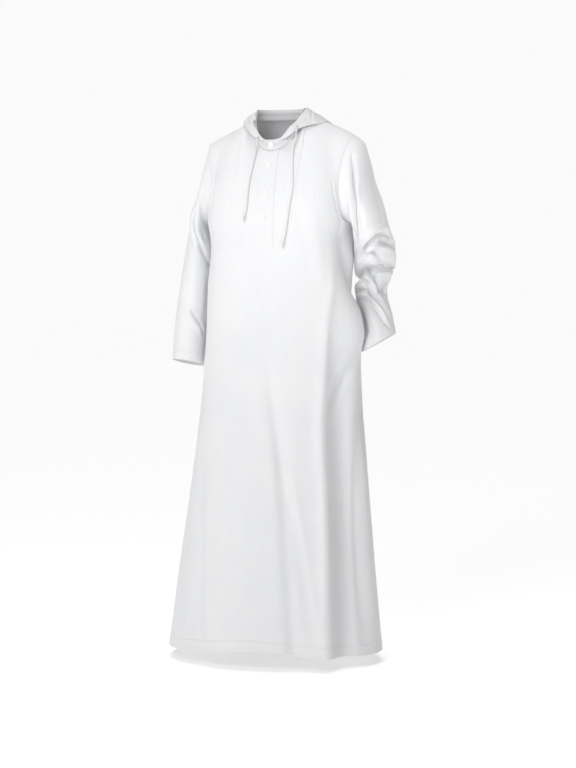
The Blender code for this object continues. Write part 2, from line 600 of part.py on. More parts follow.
def surface_tree(grid):
    """Search tree over the cells of a grid."""
    rows, columns = grid.shape[:2]
    cells = [(i * columns + j, i * columns + j + 1, (i + 1) * columns + j + 1, (i + 1) * columns + j)
             for i in range(rows - 1) for j in range(columns - 1)]
    return BVHTree.FromPolygons([Vector(point) for point in grid.reshape(-1, 3)], cells)


def seen_from_front(tree, x, height):
    """The point of a surface that lies behind (x, height) for someone in front, and its normal."""
    place, normal, _, _ = tree.ray_cast(Vector((x, -1, height)), Vector((0, 1, 0)))
    return place, normal if normal.y < 0 else -normal


def cord_line(side, tree):
    """Evenly spaced points of a smooth curve through the way of one cord."""
    way = [Vector(point) for point in CORD_STARTS[side]]
    for point in CORDS[side]:
        place, normal = seen_from_front(tree, point.x, point.height)
        way.append(place + normal * point.off)
    way = np.array([tuple(point) for point in way])
    before = np.concatenate([way[:1], way[:-1]])
    after = np.concatenate([way[1:], way[-1:]])
    slopes = (after - before) / 2
    dense = [way[0]]
    for i in range(len(way) - 1):
        for t in np.linspace(0, 1, 33)[1:]:
            dense.append(hermite(way[i], way[i + 1], slopes[i], slopes[i + 1], t))
    dense = np.array(dense)
    run = np.concatenate([[0], np.cumsum(np.linalg.norm(np.diff(dense, axis=0), axis=1))])
    count = int(round(run[-1] / CORD_STEP))
    return np.stack([np.interp(np.linspace(0, run[-1], count + 1), run, dense[:, k]) for k in range(3)], -1)


def add_cord(name, line):
    """A round cord along a line of points."""
    curve = bpy.data.curves.new(name, "CURVE")
    curve.dimensions = "3D"
    curve.bevel_depth = CORD_RADIUS
    curve.bevel_resolution = 2
    curve.use_fill_caps = True
    spline = curve.splines.new("POLY")
    spline.points.add(len(line) - 1)
    for point, place in zip(spline.points, line):
        point.co = (*place, 1)
    return add_object(name, curve, WHITE_CORD)


def add_knot(name, line):
    """The knot at a cord's end, with the short tail below it."""
    along = Vector(line[-1] - line[-2]).normalized()
    size = KNOT_RADIUS
    profile = ((0, size), (size * 0.60, size * 0.88), (size * 0.95, size * 0.35), (size, -size * 0.15),
               (size * 0.72, -size * 0.80), (CORD_RADIUS, -size * 1.05),
               (CORD_RADIUS, -size * 2.1), (0, -size * 2.1))
    middle = Vector(line[-1]) + along * (size + SEAM_GAP)
    return add_turned(name, profile, middle, -along, 12, WHITE_CORD)


garment = None


def build():
    """Model every piece of the garment."""
    global garment
    for thing in list(bpy.data.objects):
        bpy.data.objects.remove(thing, do_unlink=True)
    garment = bpy.data.collections.new("hooded thobe")
    bpy.context.scene.collection.children.link(garment)

    front_turns, back_turns = np.array(FRONT_TURNS, float), np.array(BACK_TURNS, float)
    round_front = neck_turn(front_turns[np.abs(front_turns) <= NECK_TURN], True)
    round_back = neck_turn(back_turns[np.abs(back_turns - 180) < NECK_TURN], False)
    band_turns = np.concatenate([[-BAND_LAP], round_front[round_front >= 0], round_back,
                                 round_front[round_front <= 0] + 360, [360 + BAND_LAP]])
    grids = {
        "front": (panel(True, FRONT_TURNS, HEIGHTS, YOKE_ROWS), False),
        "back": (panel(False, BACK_TURNS, HEIGHTS, YOKE_ROWS), False),
        "neckband": (band(band_turns, np.linspace(0, 1, 3)), False),
    }
    for side, name in ((-1, "right"), (1, "left")):
        along = np.linspace(0, SLEEVE[side][-1].along, SLEEVE_RINGS[side] + 1)
        grids[f"sleeve_{name}"] = (sleeve(side, along, YOKE_ROWS), True)
        turns = np.linspace(HOOD[0].turn, HOOD[-1].turn, HOOD_COLUMNS + 1)
        grids[f"hood_{name}"] = (hood(side, turns, HOOD_ROWS), False)
    normals = shared_normals(grids)
    for name, (grid, closed) in grids.items():
        lift = BAND_LIFT if name == "neckband" else 0
        add_wall(name, drawn_in(grid, closed) + (0, 0, lift), normals[name], WHITE_COTTON, closed)

    front, back = grids["front"][0], grids["back"][0]
    first = HEIGHTS.index(PLACKET_END)
    under, upward = strip(front[first:], normals["front"][first:], FRONT_TURNS.index(0),
                          PLACKET_HALF * np.array(PLACKET_SHARES))
    under[-1] += (under[-2] - under[-1]) * PLACKET_SHORT
    placket = under + upward * (PLACKET_GAP + WALL)
    add_wall("placket", drawn_in(placket, False), upward, WHITE_COTTON)

    face = surface_tree(placket)
    for number, (x, height) in enumerate(PLACKET_BUTTONS, 2):
        place, normal = seen_from_front(face, x, height)
        add_button(f"button_{number}", place, normal)
    front_band = band(np.array([-1.0, 0.0, 1.0]), np.array([0, BAND_BUTTON_RISE, 1]))
    place, normal = seen_from_front(surface_tree(front_band), 0, front_band[1, 1, 2])
    add_button("button_1", place, normal)

    chest = surface_tree(front)
    for side, name in ((-1, "right"), (1, "left")):
        line = cord_line(side, chest)
        add_cord(f"drawstring_{name}", line)
        add_knot(f"knot_{name}", line)

    bag = pocket_bag(front, back, normals["front"], normals["back"])
    bag_normals = shared_normals({"bag": (bag, True)})["bag"]
    add_wall("pocket_left", bag, bag_normals, WHITE_COTTON, closed=True, capped=True)


build()
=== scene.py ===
from collections import namedtuple
from itertools import product
from math import cos, hypot, pi, radians, sin

import bmesh
import bpy
import numpy as np
from mathutils import Matrix, Vector
from mathutils.bvhtree import BVHTree


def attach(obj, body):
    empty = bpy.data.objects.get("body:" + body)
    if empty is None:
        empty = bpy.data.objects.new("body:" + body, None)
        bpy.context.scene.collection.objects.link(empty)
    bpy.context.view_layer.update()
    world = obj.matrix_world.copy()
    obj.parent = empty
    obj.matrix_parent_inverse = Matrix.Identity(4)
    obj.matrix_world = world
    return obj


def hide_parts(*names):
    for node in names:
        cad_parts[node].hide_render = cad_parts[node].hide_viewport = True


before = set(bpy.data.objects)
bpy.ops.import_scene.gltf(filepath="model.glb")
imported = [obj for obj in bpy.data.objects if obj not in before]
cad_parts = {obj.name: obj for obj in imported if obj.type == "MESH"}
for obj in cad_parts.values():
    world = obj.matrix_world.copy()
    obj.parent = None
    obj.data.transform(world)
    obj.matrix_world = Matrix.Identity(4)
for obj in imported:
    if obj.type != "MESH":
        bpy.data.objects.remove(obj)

bl_info = {
    "name": "Hooded thobe",
    "version": (1, 0, 0),
    "blender": (4, 5, 0),
    "location": "View3D > Sidebar > Thobe",
    "description": "Dresses the frame of a hooded thobe in its cloth, stitching, buttons and drawstring",
    "category": "Object",
}

# Driving dimensions
WALL = 0.0016               # thickness of the cloth walls
SEAM_GAP = 0.0003           # between two pieces that are sewn together
LAY_GAP = 0.0004            # between a piece and what it lies on
HEM = -1.4425               # height of the hem at the side seams
FRONT_HEM_LIFT = 0.019      # the hem is this much higher at the centre front
UNDERARM = -0.283           # height of the underarm points
TIP_OUT = {-1: 0.205, 1: 0.214}         # shoulder tips, right and left
TIP_HEIGHT = {-1: -0.0635, 1: -0.052}
TIP_ROUNDING = {-1: 1.12, 1: 1.7}      # how late the shoulder seams begin to drop
ARMHOLE_BOW = 0.066         # how far the armhole bows to the front and the back
NECK_TURN = 31.0            # columns of a panel within this turn end at the neckline
NECK_SIDE, NECK_FRONT, NECK_BACK = 0.070, 0.086, 0.063
NECK_DROP = 0.093           # the neckline's centre front lies this far below its sides
NECK_SPREAD = 0.10          # how strongly the columns beside the neck bend out round it
BAND_HEIGHT, BAND_LEAN = 0.027, 0.10
BAND_LAP = 7.0              # degrees that each end of the neckband passes the centre front
BAND_LAP_FADE = 28.0        # the upper end of the band lies raised from its end to this turn
BAND_LIFT = 0.0002          # widens the gap below the band
PLACKET_HALF = 0.0243       # half its width
PLACKET_GAP = 0.0007        # between the placket and the front
PLACKET_END = -0.363
PLACKET_SHORT = 0.16        # share of the last row by which it stops short of the neckline
SLIT_TOP, SLIT_END = -0.470, -0.632     # the pocket slit in the left side seam
LIP_FRONT, LIP_BACK = 9.0, 13.0         # degrees by which its two edges part
LIP_OUT = 0.014
BAG_GAP = 0.0010            # between the slit's edges and the mouth of the pocket bag
BUTTON_RADIUS, BUTTON_THICKNESS = 0.0070, 0.0030
BAND_BUTTON_RISE = 0.5
BAND_SETTLE = 1.4           # the lapped end's lower edge settles on the front
PLACKET_BUTTONS = ((0.000, -0.134), (0.000, -0.208), (-0.003, -0.276))      # x and height
CORD_RADIUS = 0.0020
CORD_STEP = 0.010           # between two points of a cord
KNOT_RADIUS, KNOT_CURL = 0.0048, 0.00105


def rows_of(kind, table):
    """The rows of a table, or of every table in a dictionary, as named tuples."""
    if isinstance(table, dict):
        return {name: rows_of(kind, part) for name, part in table.items()}
    return tuple(kind(*row) for row in table)


# Horizontal sections of the body, from the hem up
Level = namedtuple("Level", "height half_width front back roundness shift")
BODY = rows_of(Level, (
    (-1.4425, 0.298, 0.222, 0.19, 2.2, -0.016),
    (-1.223, 0.273, 0.204, 0.178, 2.2, -0.011),
    (-1.043, 0.252, 0.186, 0.166, 2.2, -0.005),
    (-0.873, 0.233, 0.168, 0.156, 2.3, 0),
    (-0.723, 0.217, 0.157, 0.146, 2.4, 0.002),
    (-0.603, 0.207, 0.15, 0.136, 2.6, 0),
    (-0.493, 0.205, 0.147, 0.121, 2.8, 0),
    (-0.373, 0.204, 0.145, 0.111, 3, 0),
    (-0.283, 0.199, 0.141, 0.117, 2.9, 0),
))

# Folds and hollows of the body, a row for each height: where it lies, how far it stands out
# (or in, if negative) and its half width in degrees
Fold = namedtuple("Fold", "height turn depth width")
FOLDS = rows_of(Fold, {
    "left ridge": (
        (-1.46, 47, 0.022, 7.5), (-1.02, 51, 0.017, 6.5), (-0.66, 52, 0.01, 6.5), (-0.36, 61, 0, 7)),
    "left trough": (
        (-1.46, 62, -0.024, 8), (-1.02, 64, -0.021, 7.5), (-0.72, 66, -0.015, 7.5), (-0.6, 70, 0, 8)),
    "left side flare": ((-1.46, 84, 0.004, 10), (-1.02, 84, 0.004, 10), (-0.75, 84, 0, 10)),
    "front trough": (
        (-1.46, 31, -0.013, 5.5), (-1.1, 24, -0.011, 5.5), (-0.85, 16, -0.007, 6), (-0.68, 7, 0, 7)),
    "front right swell": ((-1.46, -14, 0.006, 16), (-1, -12, 0.004, 16), (-0.7, -10, 0, 16)),
    "right front trough": (
        (-1.46, -40, -0.01, 6), (-1.3, -43, -0.009, 6), (-1.04, -55, -0.007, 6), (-0.8, -60, 0, 7)),
    "back left flute": ((-1.46, 140, -0.018, 9), (-1, 138, -0.013, 9), (-0.62, 136, 0, 10)),
    "back left ridge": ((-1.46, 160, 0.012, 9), (-1, 160, 0.008, 9), (-0.6, 158, 0, 10)),
    "back right flute": ((-1.46, 201, -0.016, 9), (-1, 203, -0.012, 9), (-0.58, 205, 0, 10)),
    "back right ridge": ((-1.46, 226, 0.01, 10), (-1, 226, 0.007, 10), (-0.7, 226, 0, 10)),
    "right arm hollow": (
        (-0.66, -92, 0, 30), (-0.46, -92, -0.015, 30), (-0.335, -92, -0.032, 28), (-0.275, -92, -0.006, 22),
        (-0.24, -92, 0, 20)),
    "left arm hollow": (
        (-0.58, 100, 0, 16), (-0.5, 100, -0.016, 16), (-0.44, 92, -0.02, 18), (-0.335, 84, -0.028, 18),
        (-0.275, 88, -0.006, 20), (-0.24, 90, 0, 20)),
    "left back swell": (
        (-0.5, 122, 0, 15), (-0.42, 122, 0.005, 15), (-0.35, 121, 0.011, 15), (-0.3, 121, 0.004, 15),
        (-0.26, 121, 0, 15)),
    "left hand swell": (
        (-0.8, 80, 0, 18), (-0.68, 80, 0.018, 17), (-0.6, 80, 0.03, 17), (-0.5, 78, 0.018, 17),
        (-0.42, 76, 0, 16)),
})

# Rings of the sleeves, from the armhole to the cuff. Each ring hangs between a point of its outer
# line and a point of its underarm line. x is outwards, swing tips the ring's front edge up.
Ring = namedtuple("Ring", "along out_x out_y out_z in_x in_y in_z swing depth")
SLEEVE = rows_of(Ring, {
    -1: (
        (0, 0.205, 0, -0.0635, 0.193, 0, -0.283, 0, 0.066),
        (0.022, 0.211, 0, -0.091, 0.2, 0, -0.285, 0, 0.067),
        (0.05, 0.215, 0, -0.124, 0.204, 0, -0.29, 0, 0.069),
        (0.075, 0.2185, 0, -0.158, 0.206, 0, -0.295, 0, 0.071),
        (0.1, 0.229, 0, -0.193, 0.205, 0, -0.301, 1, 0.073),
        (0.15, 0.25, -0.002, -0.257, 0.199, 0, -0.321, 2, 0.075),
        (0.22, 0.264, -0.004, -0.34, 0.188, -0.002, -0.356, 3, 0.076),
        (0.34, 0.284, -0.008, -0.455, 0.199, -0.006, -0.475, 4, 0.073),
        (0.42, 0.2955, -0.013, -0.535, 0.209, -0.011, -0.552, 6, 0.067),
        (0.5, 0.302, -0.018, -0.612, 0.217, -0.017, -0.626, 8, 0.062),
        (0.545, 0.304, -0.021, -0.66, 0.22, -0.02, -0.671, 9, 0.06),
    ),
    1: (
        (0, 0.214, 0, -0.052, 0.193, 0, -0.283, 0, 0.066),
        (0.022, 0.235, 0.001, -0.07, 0.2, 0.002, -0.285, -1, 0.067),
        (0.055, 0.2475, 0.004, -0.114, 0.205, 0.005, -0.289, -2, 0.069),
        (0.095, 0.259, 0.01, -0.17, 0.207, 0.012, -0.296, -5, 0.071),
        (0.145, 0.275, 0.026, -0.225, 0.206, 0.028, -0.312, -10, 0.071),
        (0.21, 0.287, 0.06, -0.298, 0.194, 0.058, -0.342, -14, 0.069),
        (0.27, 0.295, 0.092, -0.352, 0.187, 0.09, -0.388, -8, 0.067),
        (0.31, 0.295, 0.106, -0.388, 0.183, 0.104, -0.424, 2, 0.066),
        (0.355, 0.286, 0.101, -0.42, 0.184, 0.103, -0.456, 8, 0.065),
        (0.4, 0.274, 0.086, -0.452, 0.19, 0.092, -0.492, 10, 0.062),
        (0.45, 0.286, 0.064, -0.494, 0.199, 0.076, -0.538, 6, 0.06),
        (0.5, 0.303, 0.04, -0.541, 0.21, 0.054, -0.588, 0, 0.058),
        (0.545, 0.316, 0.022, -0.584, 0.222, 0.036, -0.634, -6, 0.056),
    ),
})

# Creases of the sleeves: place along the sleeve and round it (0 outer, 90 front, 180 underarm),
# half length round it, how far it stands out, half width along it, and rise along for 90 degrees
Crease = namedtuple("Crease", "along around spread depth width slant")
CREASES = rows_of(Crease, {
    -1: (
        (0.215, 95, 65, -0.007, 0.024, 0.06),
        (0.165, 90, 60, 0.004, 0.026, 0.05),
        (0.4, 130, 60, -0.005, 0.024, 0.04),
    ),
    1: (
        (0.285, 60, 95, 0.005, 0.02, -0.01),
        (0.325, 80, 80, -0.011, 0.017, 0.014),
        (0.362, 60, 80, 0.008, 0.018, 0.006),
        (0.418, 30, 85, -0.012, 0.019, 0.012),
        (0.48, 60, 90, 0.004, 0.024, 0),
    ),
})

# The hood lies folded down. At each turn its section runs from the seam on the neckband out to
# the fold, and back over itself to the rim of the face opening.
HoodSection = namedtuple("HoodSection", "turn fold_out fold_height bulge loft rim_out rim_height")
HOOD = rows_of(HoodSection, (
    (26, 0.0985, -0.06, 0, 0.003, 0.089, -0.038),
    (45, 0.1, -0.037, 0.001, 0.0045, 0.083, -0.0165),
    (60, 0.105, -0.025, 0.002, 0.004, 0.0775, 0.002),
    (90, 0.127, -0.006, 0.003, -0.002, 0.072, 0.028),
    (112, 0.144, -0.02, 0.005, 0, 0.073, 0.03),
    (135, 0.148, -0.09, 0.015, 0.018, 0.075, 0.031),
    (158, 0.154, -0.185, 0.017, 0.036, 0.073, 0.031),
    (180, 0.157, -0.225, 0.018, 0.042, 0.072, 0.031),
))

# How the worn hood differs from its plain solid
HOOD_END, HOOD_TAPER = 15.0, 36.0       # its front ends taper on the neckband between these turns
HOOD_END_SHARE = 0.16
HANG_TURN, HANG_WIDTH = 84.0, 17.0      # the left half's fold hangs forward over the shoulder here
HANG_ROWS = 0.85                        # and this far to both sides of the fold
HANG = (0.0, -0.012, -0.012)
HOOD_CLEAR = 0.0012                     # between the hood and the shoulders
HOOD_BESIDE = 0.002                     # a point further than this beside a panel isn't over it
HOOD_SEAM_BELOW = 0.004     # from the band's upper edge down to the hood's seam
HOOD_SEAM_OFF = 0.0009      # from the band's smooth form out to the hood's seam
HOOD_LOW, HOOD_NEAR = 0.022, 0.020      # the right half's rim lies lower and its fold nearer the neck
HOOD_LOW_TURN, HOOD_LOW_WIDTH = 95.0, 34.0

# The pocket bag from its mouth inwards: way in from the mouth, and share of the mouth's height
# and width
Bag = namedtuple("Bag", "inward forward down tall thick")
BAG = rows_of(Bag, (
    (0, 0, 0, 1, 1),
    (0.022, 0.004, 0.004, 1, 0.55),
    (0.05, 0.016, 0.018, 1.02, 0.34),
    (0.082, 0.036, 0.042, 1, 0.26),
    (0.108, 0.05, 0.068, 0.8, 0.2),
    (0.12, 0.056, 0.08, 0.5, 0.12),
))

# Ways of the two free ends of the drawstring. First over the hood's fold, as x, y and z, and then
# down the front panel to the knot, where off is how far the cord's middle line stands out from it.
CORD_STARTS = {
    -1: ((-0.0365, -0.0865, -0.0535), (-0.0400, -0.0925, -0.0650), (-0.0420, -0.0950, -0.0800)),
    1: ((0.0650, -0.0715, -0.0245), (0.0700, -0.0810, -0.0400), (0.0690, -0.0870, -0.0600)),
}
CordPoint = namedtuple("CordPoint", "x height off")
CORDS = rows_of(CordPoint, {
    -1: (
        (-0.0425, -0.105, 0.005), (-0.0435, -0.126, 0.0036), (-0.0452, -0.147, 0.0032),
        (-0.0477, -0.1825, 0.0031), (-0.0492, -0.218, 0.0031), (-0.0498, -0.248, 0.004),
        (-0.0542, -0.2705, 0.0062)),
    1: (
        (0.0665, -0.09, 0.0045), (0.069, -0.125, 0.0031), (0.0725, -0.165, 0.0031), (0.0746, -0.2, 0.0031),
        (0.069, -0.24, 0.0031), (0.0655, -0.27, 0.0031), (0.06, -0.315, 0.004), (0.055, -0.343, 0.0062)),
})

# Grid of the plain front panel, which the cords lie on
FRONT_TURNS = (-90, -84, -77, -70, -62, -54, -46, -38.5, -31, -24, -16.5, -9.5, -2.4, 0, 2.4, 9.5,
               16.5, 24, 31, 36, 41, 46, 50, 54, 58, 62, 66, 71, 77, 84, 90)
HEIGHTS = (HEM, -1.405, -1.33, -1.25, -1.16, -1.07, -0.98, -0.89, -0.81, -0.74, -0.68, SLIT_END,
           -0.605, -0.578, -0.551, -0.524, -0.497, SLIT_TOP, -0.43, -0.395, PLACKET_END, -0.33,
           -0.305, UNDERARM)
YOKE_ROWS_OF_SOLID = 10     # rows of a panel between the underarm and the shoulder seam

# Camera and floor
FLOOR = -1.4730
AIM = Vector((0, 0, FLOOR + 0.75))
AXIS_SHIFT, IMAGE_HIGH = 7, 768         # the garment's axis lies this many pixels left of the middle


def hermite(start, end, start_slope, end_slope, t):
    """Cubic between two values with the given slopes, at t from 0 to 1."""
    return ((1 + 2 * t) * (1 - t) ** 2 * start + t * (1 - t) ** 2 * start_slope
            + t * t * (3 - 2 * t) * end + t * t * (t - 1) * end_slope)


def smooth_step(low, high, at):
    """0 below low, 1 above high, and a smooth rise between them."""
    t = np.clip((at - low) / (high - low), 0, 1)
    return t * t * (3 - 2 * t)


def bell(away, width):
    """1 at 0, fading evenly to both sides, to 0.37 at the width."""
    return np.exp(-(away / width) ** 2)


def unit(vectors):
    """The same directions with length 1."""
    return vectors / np.linalg.norm(vectors, axis=-1)[..., None]


def lengths(line):
    """Distance of every point of a line from its first one, along the line."""
    return np.concatenate([[0], np.cumsum(np.linalg.norm(np.diff(line, axis=0), axis=1))])


def read_at(places, knots, points):
    """Points between the points of a line, which itself has its points at the knots."""
    return np.stack([np.interp(places, knots, points[:, k]) for k in range(3)], -1)


def outwards(side, turns):
    """Level directions away from the axis."""
    angle = np.radians(turns)
    return np.stack([side * np.sin(angle), -np.cos(angle)], -1)


def band_lap(turns):
    """How far the neckband's upper end lies raised over the lower one."""
    return (WALL + LAY_GAP) * (1 - smooth_step(BAND_LAP, BAND_LAP_FADE, turns))


def through(rows, column, at):
    """Smooth curve through one column of a table, read at places along its first column."""
    knots = np.array([row[0] for row in rows], float)
    values = np.array([getattr(row, column) for row in rows], float)
    slopes = np.gradient(values, knots)
    at = np.clip(at, knots[0], knots[-1])
    low = np.clip(np.searchsorted(knots, at, side="right") - 1, 0, len(knots) - 2)
    span = knots[low + 1] - knots[low]
    return hermite(values[low], values[low + 1], slopes[low] * span, slopes[low + 1] * span,
                   (at - knots[low]) / span)


def superellipse(turn, half_width, front, back, roundness):
    """Distance from the axis to a rounded oval, at a turn in radians."""
    depth = np.where(np.cos(turn) > 0, front, back)
    return (np.abs(np.sin(turn) / half_width) ** roundness
            + np.abs(np.cos(turn) / depth) ** roundness) ** (-1 / roundness)


def fold_depth(turn, height):
    """How far the folds move the cloth out at a turn in degrees and a height."""
    total = np.zeros(np.broadcast(turn, height).shape)
    for rows in FOLDS.values():
        away = (turn - through(rows, "turn", height) + 180) % 360 - 180
        total = total + through(rows, "depth", height) * bell(away, through(rows, "width", height))
    return total


def slit_opening(height):
    """0 outside the pocket slit and 1 at its middle."""
    t = np.clip((height - SLIT_END) / (SLIT_TOP - SLIT_END), 0, 1)
    return np.sin(pi * t) ** 1.2


def body_point(turn, level, lip=0):
    """A point of the body below the underarm. lip is how far a slit edge stands out there."""
    angle = np.radians(turn)
    lift = FRONT_HEM_LIFT * np.clip(np.cos(angle), 0, 1) ** 4
    height = level + lift * smooth_step(-0.9, HEM, level)
    out = superellipse(angle, *(through(BODY, column, level) for column in BODY[0]._fields[1:5]))
    out = out + fold_depth(turn, level) + lip
    return np.stack([through(BODY, "shift", level) + out * np.sin(angle), -out * np.cos(angle), height], -1)


def neck_point(turn):
    """A point of the neckline at a turn round the neck, in degrees."""
    angle = np.radians(turn)
    out = superellipse(angle, NECK_SIDE, NECK_FRONT, NECK_BACK, 2.0)
    height = -NECK_DROP * np.clip(np.cos(angle), 0, 1) ** 1.5 + 0.004 * np.clip(-np.cos(angle), 0, 1)
    return np.stack([out * np.sin(angle), -out * np.cos(angle), height], -1)


def neck_turn(turn, front):
    """Turn round the neck at which a panel's column ends."""
    centre = 0.0 if front else 180.0
    return centre + (turn - centre) * 90.0 / NECK_TURN


def yoke_point(turn, rise, front):
    """A point of a panel above the underarm: rise is 0 at the underarm and 1 at the top edge."""
    centre = 0.0 if front else 180.0
    facing = 1.0 if front else -1.0
    off = turn - centre
    side = np.where(off * facing >= 0, 1, -1)
    beyond = np.clip((np.abs(off) - NECK_TURN) / (90.0 - NECK_TURN), 0, 1)
    start = body_point(turn, np.full_like(turn, UNDERARM))
    tip_out = np.where(side > 0, TIP_OUT[1], TIP_OUT[-1])
    tip_height = np.where(side > 0, TIP_HEIGHT[1], TIP_HEIGHT[-1])
    rounding = np.where(side > 0, TIP_ROUNDING[1], TIP_ROUNDING[-1])
    seam = np.stack([side * (NECK_SIDE + (tip_out - NECK_SIDE) * beyond), 0 * turn,
                     tip_height * beyond ** rounding], -1)
    end = np.where((beyond > 0)[..., None], seam, neck_point(neck_turn(np.clip(off, -NECK_TURN, NECK_TURN)
                                                                        + centre, front)))
    climb = (end - start)[..., 2]
    at_side = smooth_step(58, 90, np.abs(off))
    round_neck = smooth_step(4, NECK_TURN, np.abs(off)) * (1 - smooth_step(NECK_TURN, 66, np.abs(off)))
    off_neck = smooth_step(0, NECK_TURN, np.abs(off))
    bow = 4 * ARMHOLE_BOW * facing
    leave = np.stack([-0.07 * side * at_side, -bow * at_side, climb * (1 - at_side)], -1)
    back_slope = 0.45 + 0.45 * off_neck if front else 0.80 + 0.10 * off_neck
    up_slope = 0.90 - 0.62 * off_neck if front else 0.55 - 0.27 * off_neck
    arrive = np.stack([side * (0.07 * at_side - NECK_SPREAD * round_neck),
                       bow * at_side + facing * back_slope * climb * (1 - at_side),
                       up_slope * climb * (1 - at_side)], -1)
    rise = np.asarray(rise)[..., None]
    return hermite(start, end, leave, arrive, rise)


def panel(front, turns, levels, yoke_rows):
    """Grid of a panel's outer points, a row for each level from the hem and then the yoke."""
    lower = []
    for level in levels:
        opening = slit_opening(level)
        turn = np.array(turns, float)
        near = np.clip(1 - np.abs(turn - 90) / 40, 0, 1)
        if front:
            turn = turn - LIP_FRONT * opening * near
            lip = LIP_OUT * opening * near ** 2
        else:
            turn = turn + LIP_BACK * opening * near
            lip = -LIP_OUT * opening * near ** 2
        lower.append(body_point(turn, np.full_like(turn, level), lip))
    turn = np.array(turns, float)
    upper = [yoke_point(turn, np.full_like(turn, rise), front)
             for rise in np.linspace(0, 1, yoke_rows + 1)[1:]]
    return np.array(lower + upper)


def armhole(side, yoke_rows):
    """The armhole as a closed ring: top, front, underarm and back on the left, reversed on the right."""
    rises = np.linspace(1, 0, yoke_rows + 1)
    front = yoke_point(np.full_like(rises, 90.0 * side), rises, True)
    back_turn = 90.0 if side > 0 else 270.0
    back = yoke_point(np.full_like(rises, back_turn), rises, False)
    if side > 0:
        return np.concatenate([front, back[::-1][1:-1]])
    return np.concatenate([back, front[::-1][1:-1]])


def sleeve(side, along, yoke_rows):
    """Grid of a sleeve's outer points, a row for each ring from the armhole to the cuff."""
    hole = armhole(side, yoke_rows)
    rows = SLEEVE[side]
    around = sleeve_around(side, len(hole))
    angle = np.radians(around)
    grid = []
    for place in along:
        ring = {column: float(through(rows, column, place)) for column in Ring._fields[1:]}
        outer = np.array([side * ring["out_x"], ring["out_y"], ring["out_z"]])
        inner = np.array([side * ring["in_x"], ring["in_y"], ring["in_z"]])
        forward = np.array([0, -np.cos(radians(ring["swing"])), np.sin(radians(ring["swing"]))])
        reach = (outer - inner) / 2
        unit_out = reach / np.linalg.norm(reach)
        crease = sum(fold.depth * bell((around - fold.around + 180) % 360 - 180, fold.spread)
                     * bell(place - fold.along - fold.slant * (around - fold.around) / 90, fold.width)
                     for fold in CREASES[side])
        points = ((outer + inner) / 2 + np.cos(angle)[:, None] * (reach + unit_out * crease[:, None])
                  + np.sin(angle)[:, None] * forward * (ring["depth"] + crease)[:, None])
        grid.append(points)
    grid = np.array(grid)
    fade = (1 - smooth_step(0, 0.07, np.asarray(along)))[:, None, None]
    return grid + (hole - grid[0]) * fade


def band(turns, rises):
    """Grid of the neckband's outer points. Its upper end rises over the lower one at the front."""
    grid = []
    for rise in rises:
        base = neck_point(turns)
        radial = unit(base * (1, 1, 0))
        lap = band_lap(turns)
        up = rise * BAND_HEIGHT
        lift = lap * (1 - BAND_SETTLE * (1 - rise) ** 6)
        grid.append(base + radial * (lap - BAND_LEAN * up)[:, None] + np.outer(up + lift, (0, 0, 1)))
    return np.array(grid)


def hood(side, turns, rows):
    """Grid of one half of the hood, from the seam on the neckband round the fold to the rim."""
    column = {name: through(HOOD, name, turns) for name in HoodSection._fields[1:]}
    neck = neck_point(turns)
    neck_out = np.hypot(neck[:, 0], neck[:, 1])
    rise = BAND_HEIGHT - HOOD_SEAM_BELOW
    seam = np.stack([neck_out - BAND_LEAN * rise + HOOD_SEAM_OFF, neck[:, 2] + rise], -1)
    share = 0 * turns
    if side < 0:
        share = bell(turns - HOOD_LOW_TURN, HOOD_LOW_WIDTH) * (1 - smooth_step(135, 170, turns))
    fold = np.stack([column["fold_out"] - HOOD_NEAR * share, column["fold_height"]], -1)
    rim = np.stack([column["rim_out"], column["rim_height"] - HOOD_LOW * share], -1)

    def between(a, b, off):
        run = unit(b - a)
        across = np.stack([-run[:, 1], run[:, 0]], -1)
        return (a + b) / 2 + across * off[:, None]

    under = between(seam, fold, column["bulge"])
    over = between(fold, rim, -column["loft"])
    keys = [seam, under, fold, over, rim]
    outward = outwards(side, turns)
    grid = []
    for place in np.linspace(0, 4, rows + 1):
        low = min(int(place), 3)
        before, start, end, after = (keys[max(low - 1, 0)], keys[low], keys[low + 1], keys[min(low + 2, 4)])
        flat = hermite(start, end, (end - before) / 2, (after - start) / 2, place - low)
        grid.append(np.concatenate([outward * flat[:, :1], flat[:, 1:]], -1))
    grid = np.array(grid)
    return grid if side > 0 else grid[:, ::-1]


def strip(grid, normals, middle, places):
    """Points and normals of a grid at even distances to both sides of one of its columns."""
    points, upward = [], []
    for row, ups in zip(grid, normals):
        run = lengths(row)
        points.append(read_at(places + run[middle], run, row))
        upward.append(read_at(places + run[middle], run, ups))
    return np.array(points), unit(np.array(upward))


def cell_sums(grid, closed):
    """Sum at each grid point of the area vectors of the cells that meet there."""
    wrapped = np.concatenate([grid, grid[:, :1]], 1) if closed else grid
    area = np.cross(wrapped[1:, 1:] - wrapped[:-1, :-1], wrapped[1:, :-1] - wrapped[:-1, 1:])
    total = np.zeros_like(wrapped)
    total[:-1, :-1] += area
    total[1:, :-1] += area
    total[:-1, 1:] += area
    total[1:, 1:] += area
    if closed:
        total[:, 0] += total[:, -1]
        total = total[:, :-1]
    return total


def shared_normals(grids):
    """Unit normals of all grids, the same wherever two grids share a point."""
    sums = {name: cell_sums(grid, closed) for name, (grid, closed) in grids.items()}
    at_place = {}
    for name, (grid, _) in grids.items():
        for point, total in zip(grid.reshape(-1, 3), sums[name].reshape(-1, 3)):
            key = tuple(np.round(point, 5))
            at_place[key] = at_place.get(key, 0) + total
    normals = {}
    for name, (grid, _) in grids.items():
        flat = np.array([at_place[tuple(np.round(point, 5))] for point in grid.reshape(-1, 3)])
        normals[name] = unit(flat).reshape(grid.shape)
    return normals


